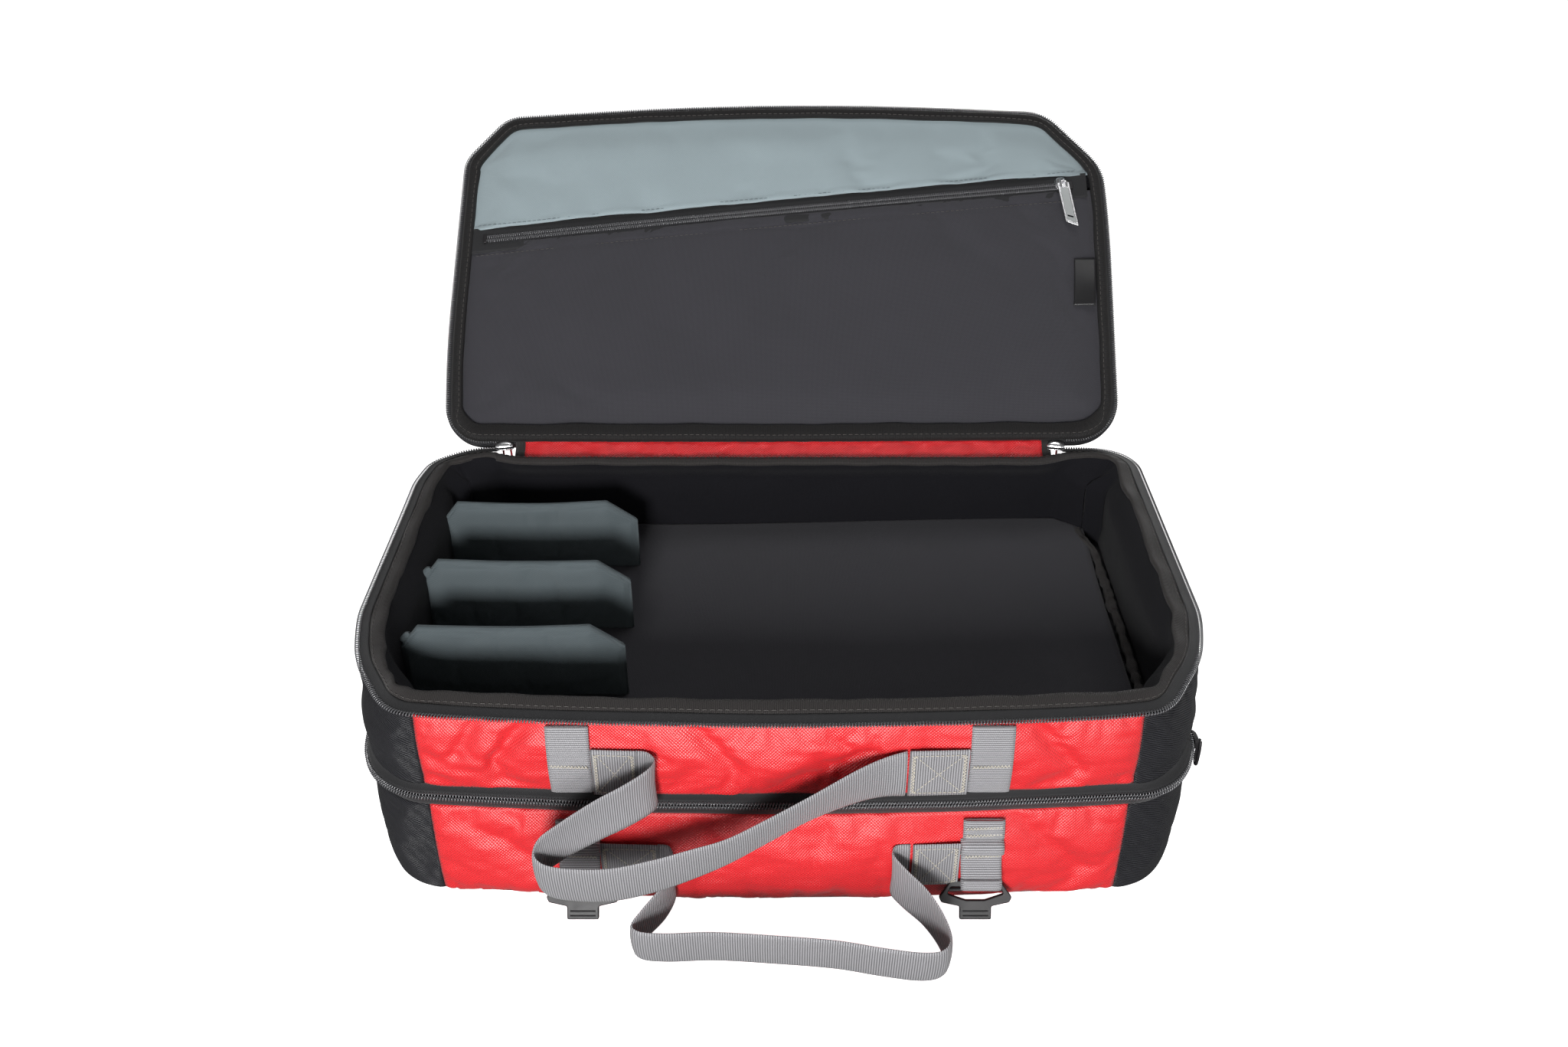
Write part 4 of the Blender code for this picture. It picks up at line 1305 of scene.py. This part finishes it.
def lid_outside():
    """The lid's padded outer cover, a red middle between black ends, and the band round its edge."""
    line, way, _ = lid_outline(0.003)
    profile = ((-0.0002, 0.0026), (0.0010, 0.0050), (0.0014, 0.0080), (0.0004, 0.0112), (-0.0012, 0.0122))
    band = np.stack([lid_at(line, way, out, z) for out, z in profile], 1)
    side = cloth_sheet("lid_side_cloth", np.concatenate([band, band[:1]]), TWILLED, 0.0008)
    dress(side, "lid", ["lid_foam"])
    x = across_lid(0.0006, 200)
    far, near = lid_spans(x, 0.0006)
    t = np.linspace(0, 1, 90)[None, :]
    y = far[:, None] + (near - far)[:, None] * t
    xx = np.broadcast_to(x[:, None], y.shape)
    edge = np.minimum(np.minimum(y - far[:, None], near[:, None] - y), np.minimum(xx - x[0], x[-1] - xx))
    soft = smooth(edge, 0, 0.04)
    seam_x = CENTRE_HALF - 0.012
    seam = 1 - np.minimum(np.abs(np.abs(xx) - seam_x) / 0.004, 1.0)
    z = LID_DEPTH - 0.0010 + 0.0052 * (1 - np.exp(-np.maximum(edge, 0) / 0.012))
    z = z - 0.0016 * seam * soft + rough(xx, y, 0.06, 85.0) * 0.0018 * soft
    grid = np.stack([xx, y, z], -1)
    first, last = np.searchsorted(x, -seam_x), np.searchsorted(x, seam_x)
    for name, a, b, cloth_material, slot, stands_for in (
            ("lid_cover_middle", first, last, RED, "red_polyester", ["lid_outer_cover"]),
            ("lid_cover_left", 0, first, TWILLED, "black_twill", []),
            ("lid_cover_right", last, len(x) - 1, TWILLED, "black_twill", [])):
        part = grid[a:b + 1]
        if name == "lid_cover_middle":
            part = settle(part, edges(part), 0.015, 0.15, 0.6, cap=0.0030, free=soft[a:b + 1])
        piece = cloth_sheet(name, lid_world(part), cloth_material, 0.0010)
        dress(piece, "lid", stands_for)


lid_outside()


def pocket_pull():
    """The pocket zip's slider, and its plate of bright metal with a satin middle."""
    head = domed("pocket_slider_head", box_outline(0.0088, 0.0105, 0.0034, 6), 0.0042, METAL,
                 lid_place(0.2285, -0.2262, -0.0030, math.radians(6)))
    dress(head, "pocket_slider", ["pocket_slider"])
    origin, turn = (0.2300, -0.2239), math.radians(7.7)
    width, long = 0.0095, 0.0400
    outline = [(-width / 2, 0.0012), (width / 2, 0.0012), (width / 2, -long), (-width / 2, -long + 0.0055)]
    outline = rounded([(x, y, 0.0016) for x, y in outline[::-1]], 5)
    half = width / 2 - 0.0016
    middle = rounded([(-half, -long + 0.0074, 0.0008), (half, -long + 0.0029, 0.0008),
                      (half, -0.0040, 0.0012), (-half, -0.0040, 0.0012)], 5)
    slot = [(-0.0022, -long + 0.0100), (0.0022, -long + 0.0080), (0.0022, -long + 0.0098),
            (-0.0022, -long + 0.0118)]
    place = lid_place(*origin, -0.0062, turn)
    rim = plate("pocket_pull_rim", outline, 0.0015, METAL, place, holes=(middle,), bevel=0.0003)
    dress(rim, "pocket_pull", ["pocket_pull"])
    inside = plate("pocket_pull_middle", middle, 0.0009, BRUSHED, place, holes=(slot,), bevel=0.0001)
    dress(inside, "pocket_pull")
    loop = smooth_route([(-0.0022, -0.0036, 0.0004), (-0.0020, 0.0012, 0.0020), (0.0020, 0.0012, 0.0020),
                         (0.0022, -0.0036, 0.0004)], 6)
    wire = rod("pocket_pull_loop", loop, 0.0008, METAL)
    wire.data.transform(place)
    dress(wire, "pocket_pull")


pocket_pull()


def label():
    """A plain woven tab sewn flat on the lid's lining."""
    u, v = np.linspace(0, 1, 12)[:, None], np.linspace(0, 1, 24)[None, :]
    x = 0.2350 + 0.0170 * u - 0.0030 * v
    y = -0.1570 + 0.0415 * v + u * 0
    z = -0.0040 - 0.0012 * np.sin(np.pi * v) - 0.0010 * u * np.sin(np.pi * v * 0.9)
    grid = lid_world(np.stack(np.broadcast_arrays(x, y, z), -1))
    tab = cloth_sheet("lid_label_cloth", grid, SATIN, 0.0008, turn=True)
    dress(tab, "lid", ["lid_label"])


label()


# ---------------------------------------------------------------- webbing

FRONT_AT = lambda x: np.interp(x, LOOP[len(RUNS[0]) - 1:len(RUNS[0]) + len(RUNS[1]) - 2, 0],
                               np.linspace(S_FRONT, S_RIGHT, len(RUNS[1]) - 1))


def front_strap(name, x, heights, body, stands_for, width=STRAP_WIDTH, thickness=0.0015):
    """Webbing up the front at x; heights is a list of (z, distance out)."""
    route = smooth_route([around(FRONT_AT(x), out, z) for z, out in heights], 6)
    across = np.tile((1.0, 0, 0), (len(route), 1))
    thing = ribbon(name, route, across, width, thickness, WEB)
    return dress(thing, body, stands_for)


GREY_STITCHES = {tier: Stitches(f"{tier}_grey_stitches", f"{tier}_tier", THREAD_GREY)
                 for tier in ("upper", "lower")}


def bartack(tier, x, z, out):
    """A zigzag row across a strap."""
    ends = [around(FRONT_AT(x + side * (STRAP_WIDTH / 2 - 0.0016)), out, z) for side in (-1, 1)]
    GREY_STITCHES[tier].zigzag(*ends, (0, 0, 0.0011), (0, -1.0, 0), 0.0010)


UPPER_STRAP = [(RIM_Z - 0.0030, 0.0030), (0.1400, 0.0050), (0.1250, 0.0062), (0.1120, 0.0058),
               (0.1010, 0.0044)]
LOWER_STRAP = {          # each piece's route, then how much wider and how thick it is
    "webbing": ([(0.0500, 0.0060), (0.0450, 0.0072), (0.0400, 0.0092), (0.0345, 0.0124), (0.0280, 0.0138)],
                0, 0.0015),
    "hem": ([(0.0345, 0.0140), (0.0310, 0.0152), (0.0275, 0.0154)], 0, 0.0028),
    "tab": ([(0.0770, 0.0046), (0.0720, 0.0062), (0.0680, 0.0070), (0.0640, 0.0076)], 0, 0.0030),
    "keeper": ([(0.0598, 0.0040), (0.0580, 0.0078), (0.0550, 0.0092), (0.0515, 0.0086), (0.0495, 0.0064)],
               0.0012, 0.0030)}


for strap_side, strap_x in (("left", -STRAP_X), ("right", STRAP_X)):
    front_strap(f"upper_strap_{strap_side}_webbing", strap_x, UPPER_STRAP, "upper_tier",
                [f"upper_strap_{strap_side}"])
    bartack("upper", strap_x, 0.1235, 0.0074)
    for strap_piece, (strap_route, wider, thick) in LOWER_STRAP.items():
        strap_node = [f"lower_strap_{strap_side}"] if strap_piece == "webbing" else []
        front_strap(f"lower_strap_{strap_side}_{strap_piece}", strap_x, strap_route, "lower_tier", strap_node,
                    STRAP_WIDTH + wider, thick)
    for row_z, row_out in ((0.0725, 0.0076), (0.0675, 0.0086), (0.0510, 0.0102)):
        bartack("lower", strap_x, row_z, row_out)


UPPER_ROUTE = [
    (-0.0832, -0.1640, 0.1185, 0), (-0.0765, -0.1655, 0.1185, 0), (-0.0720, -0.1720, 0.1185, 0),
    (-0.0765, -0.1800, 0.1180, 2), (-0.0900, -0.1865, 0.1130, 4), (-0.1060, -0.1895, 0.1050, 6),
    (-0.1270, -0.1910, 0.0900, 10), (-0.1395, -0.1925, 0.0790, 10), (-0.1425, -0.1965, 0.0710, 11),
    (-0.1360, -0.2000, 0.0660, 11), (-0.1200, -0.2010, 0.0635, 11), (-0.0980, -0.2010, 0.0640, 11),
    (-0.0740, -0.2000, 0.0700, 12), (-0.0520, -0.1985, 0.0780, 15), (-0.0300, -0.1960, 0.0865, 20),
    (-0.0075, -0.1920, 0.0985, 22), (0.0190, -0.1840, 0.1100, 22), (0.0450, -0.1740, 0.1170, 14),
    (0.0620, -0.1675, 0.1185, 7), (0.0750, -0.1645, 0.1185, 0)]
LOWER_ROUTE = [
    (-0.0745, -0.1640, 0.0405, 0), (-0.0670, -0.1655, 0.0400, 0), (-0.0650, -0.1730, 0.0360, 4),
    (-0.0710, -0.1850, 0.0300, 8), (-0.0825, -0.1960, 0.0230, 12), (-0.0880, -0.2030, 0.0190, 12.6),
    (-0.0830, -0.2080, 0.0182, 12.6), (-0.0670, -0.2095, 0.0182, 12.6), (-0.0400, -0.2085, 0.0182, 12.6),
    (-0.0090, -0.2105, 0.0182, 12.6), (0.0330, -0.2145, 0.0182, 12.6), (0.0610, -0.2200, 0.0182, 12.6),
    (0.0840, -0.2235, 0.0182, 12.6), (0.0970, -0.2215, 0.0182, 12.6), (0.1020, -0.2130, 0.0188, 10),
    (0.0985, -0.2000, 0.0225, 8), (0.0895, -0.1880, 0.0290, 5), (0.0775, -0.1790, 0.0355, 2),
    (0.0700, -0.1710, 0.0395, 0), (0.0720, -0.1650, 0.0405, 0), (0.0808, -0.1640, 0.0405, 0)]
HANDLE_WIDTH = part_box("upper_anchor_left")[1].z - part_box("upper_anchor_left")[0].z


def handle(name, route, body, stands_for):
    points = smooth_route(route, 10)
    lean = np.radians(points[:, 3])
    across = np.stack([np.zeros_like(lean), -np.sin(lean), np.cos(lean)], 1)
    thing = ribbon(name, points[:, :3], across, HANDLE_WIDTH, 0.0019, WEB, cup=0.0012)
    return dress(thing, body, stands_for)


handle("upper_handle_webbing", UPPER_ROUTE, "upper_handle", ["upper_handle_loop"])
handle("lower_handle_webbing", LOWER_ROUTE, "lower_handle", ["lower_handle_loop"])

def anchor(node, tier):
    """One sewn end of a handle: flat webbing with a boxed cross and two bartacks."""
    low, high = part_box(node)
    x = np.linspace(low.x, high.x, 30)
    out = 0.0058
    centre = around(FRONT_AT(x), out, (low.z + high.z) / 2)
    up = np.tile((0, 0, 1.0), (len(x), 1))
    thing = ribbon(f"{node}_webbing", centre, up, HANDLE_WIDTH, 0.0022, WEB)
    dress(thing, f"{tier}_tier", [node])
    inset, normal = 0.0032, (0, -1.0, 0)
    at = lambda px, pz: around(FRONT_AT(np.array([px])), out + 0.0012, np.array([pz]))[0]
    left, right, bottom, top = low.x + inset, high.x - inset, low.z + inset, high.z - inset
    box = [at(left, bottom), at(right, bottom), at(right, top), at(left, top)]
    sew = GREY_STITCHES[tier]
    for a, b in ((0, 1), (1, 2), (2, 3), (3, 0), (0, 2), (1, 3)):
        sew.line([box[a], box[b]], normal, 0.0022, 0.0009)
    for px in (low.x + inset * 0.7, high.x - inset * 0.7):
        sew.zigzag(at(px, low.z + inset), at(px, high.z - inset), (0.0008, 0, 0), normal)


for anchor_tier in ("upper", "lower"):
    for anchor_side in ("left", "right"):
        anchor(f"{anchor_tier}_anchor_{anchor_side}", anchor_tier)


# ---------------------------------------------------------------- finish

LOCK_LEAN = math.radians(60.0)       # a lock's lower edge stands out from the case
LOCK_WINDOW = [(-0.0155, -0.0040), (0.0155, -0.0040), (0.0175, -0.0085), (0.0060, -0.0125),
               (-0.0060, -0.0125), (-0.0175, -0.0085)]
LOCK_HALF = [(0.0155, 0.0), (0.0230, -0.0105), (0.0215, -0.0140), (0.0100, -0.0165), (0.0100, -0.0250)]


def ladder_lock(side):
    """A strap's moulded lock: a plate with one window, a bar behind it and two ridges on its grip."""
    pivot = Vector(HINGE[f"ladder_lock_{side}_swing"]["pos_m"])
    place = Matrix.Translation(pivot) @ Matrix.Rotation(LOCK_LEAN, 4, "X")
    outline = [(-x, y) for x, y in LOCK_HALF] + LOCK_HALF[::-1]
    outline = rounded([(x, y, 0.0012) for x, y in outline], 4)
    window = rounded([(x, y, 0.0008) for x, y in LOCK_WINDOW[::-1]], 4)
    parts = [plate("lock", outline, 0.0030, PLASTIC, place, holes=(window,), bevel=0.0007)]
    for half, y, z, radius in ((0.0190, -0.0065, -0.0022, 0.0014), (0.0080, -0.0195, 0.0013, 0.0007),
                               (0.0080, -0.0225, 0.0013, 0.0007)):
        parts.append(rod("bar", resample([(-half, y, z), (half, y, z)], 0.002), radius, PLASTIC))
        parts[-1].data.transform(place)
    dress(joined(f"ladder_lock_{side}_moulding", parts, PLASTIC), f"ladder_lock_{side}",
          [f"ladder_lock_{side}"])


for lock_side in ("left", "right"):
    ladder_lock(lock_side)

for sewn in GREY_STITCHES.values():
    sewn.make()


def lid_slider(side):
    """One of the rim zip's two bright sliders, and the pull that hangs behind it."""
    low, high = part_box(f"lid_zip_slider_{side}")
    centre = (low + high) / 2
    sign = -1 if side == "left" else 1
    outline = box_outline(0.0140, 0.0085, 0.0030, 7)
    waist = [(x, y * (1 - 0.16 * math.exp(-(x / 0.0022) ** 2))) for x, y in outline]
    place = Matrix.Translation((centre.x, centre.y, low.z + 0.0016)) @ Matrix.Rotation(sign * -0.18, 4, "Z")
    under = place @ Matrix.Translation((0, 0, -0.0022))
    plates = [domed("top", waist, 0.0030, METAL, place), plate("under", waist, 0.0011, METAL, under)]
    body = joined(f"lid_zip_slider_{side}_body", plates, METAL)
    dress(body, "upper_tier", [f"lid_zip_slider_{side}"])
    low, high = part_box(f"lid_zip_pull_{side}")
    x, y, half = (low.x + high.x) / 2, (low.y + high.y) / 2, (high.x - low.x) / 2
    place = Matrix.Translation((x, y, high.z)) @ Matrix.Rotation(math.radians(90), 4, "X")
    long = high.z - low.z
    outline = rounded([(-half, -long, 0.0020), (half, -long, 0.0020), (half * 0.7, 0, 0.0014),
                       (-half * 0.7, 0, 0.0014)], 5)
    window = rounded([(-half + 0.0022, -long + 0.0030, 0.001), (half - 0.0022, -long + 0.0030, 0.001),
                      (half * 0.45, -0.0060, 0.001), (-half * 0.45, -0.0060, 0.001)], 5)
    tag = plate(f"lid_zip_pull_{side}_tag", outline, 0.0015, METAL, place, holes=(window,), bevel=0.0003)
    dress(tag, f"lid_zip_pull_{side}", [f"lid_zip_pull_{side}"])


for slider_side in ("left", "right"):
    lid_slider(slider_side)


def split_slider():
    """The split zip's black slider and its loop of cord."""
    low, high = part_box("mid_zip_slider")
    centre = (low + high) / 2
    seat = Matrix.Translation((low.x + 0.0004, centre.y, centre.z))
    place = seat @ Matrix.Rotation(math.radians(90), 4, "Y")
    body = domed("mid_zip_slider_body", box_outline(0.0086, 0.0126, 0.0030, 6), 0.0040, PLASTIC, place)
    dress(body, "mid_zip_slider", ["mid_zip_slider"])
    low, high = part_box("mid_zip_pull")
    x, y, half = (low.x + high.x) / 2, (low.y + high.y) / 2, (high.y - low.y) / 2 - 0.0010
    route = [(x, y - half * 0.4, high.z - 0.001), (x, y - half, high.z - 0.006), (x, y - half, low.z + 0.004),
             (x, y, low.z + 0.0010), (x, y + half, low.z + 0.004), (x, y + half, high.z - 0.006),
             (x, y + half * 0.4, high.z - 0.001)]
    loop = rod("mid_zip_pull_cord", smooth_route(route, 6), 0.0010, PLASTIC)
    dress(loop, "mid_zip_pull", ["mid_zip_pull"])


split_slider()


def rear_strip():
    """The cloth that hinges the upper tier on the lower one."""
    low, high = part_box("tier_hinge_strip")
    x = np.linspace(low.x, high.x, 140)[:, None]
    t = np.linspace(0, 1, 12)[None, :]
    z = SPLIT_Z - 0.0110 + 0.0215 * t + x * 0
    y = BACK_Y + 0.0006 + 0.0012 * np.sin(np.pi * t) + rough(x + z * 0, z, 0.02, 95.0) * 0.0005
    grid = np.stack(np.broadcast_arrays(x, y, z), -1)
    thing = cloth_sheet("tier_hinge_cloth", grid, TWILLED, 0.0008, turn=True)
    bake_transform(thing)
    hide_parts("tier_hinge_strip")
    cut_size(grid)


rear_strip()


def gusset():
    """The red cloth between the rear rim and the lid, bound with black at both ends."""
    left, right = -0.1950, 0.2005
    x = np.concatenate([[left - 0.0070], np.linspace(left, right, 170), [right + 0.0066]])
    x = np.sort(np.concatenate([x, [left - 0.0002, right + 0.0002]]))
    t = np.linspace(0, 1, 16)[None, :]
    start = np.stack([x, np.full_like(x, BACK_Y - 0.0140), np.full_like(x, RIM_Z - 0.0040)], 1)
    end = lid_world(np.stack([x, np.full_like(x, -0.0030), np.full_like(x, 0.0010)], 1))
    grid = start[:, None] + (end - start)[:, None] * t[..., None]
    xx = np.broadcast_to(x[:, None], grid.shape[:2])
    fold = (rough(xx, t * 0.02 + xx * 0, 0.022, 91.0) * 0.0016 - 0.0006) * np.sin(np.pi * t)
    grid = grid + (0, -0.25, 1.0) * fold[..., None]
    grid = settle(grid, edges(grid), 0.020, 0.05, 0.3, cap=0.0015)
    pieces = [("hinge_gusset_cloth", (x >= left) & (x <= right), RED, "red_polyester", ["hinge_gusset"]),
              ("hinge_gusset_end_left", x <= left, BINDING, "black_binding", []),
              ("hinge_gusset_end_right", x >= right, BINDING, "black_binding", [])]
    for name, mask, material, slot, stands_for in pieces:
        part = grid[mask]
        thing = cloth_sheet(name, part, material, 0.0010 if stands_for else 0.0018)
        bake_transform(thing)
        if stands_for:
            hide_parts(*stands_for)
            cut_size(part)


gusset()
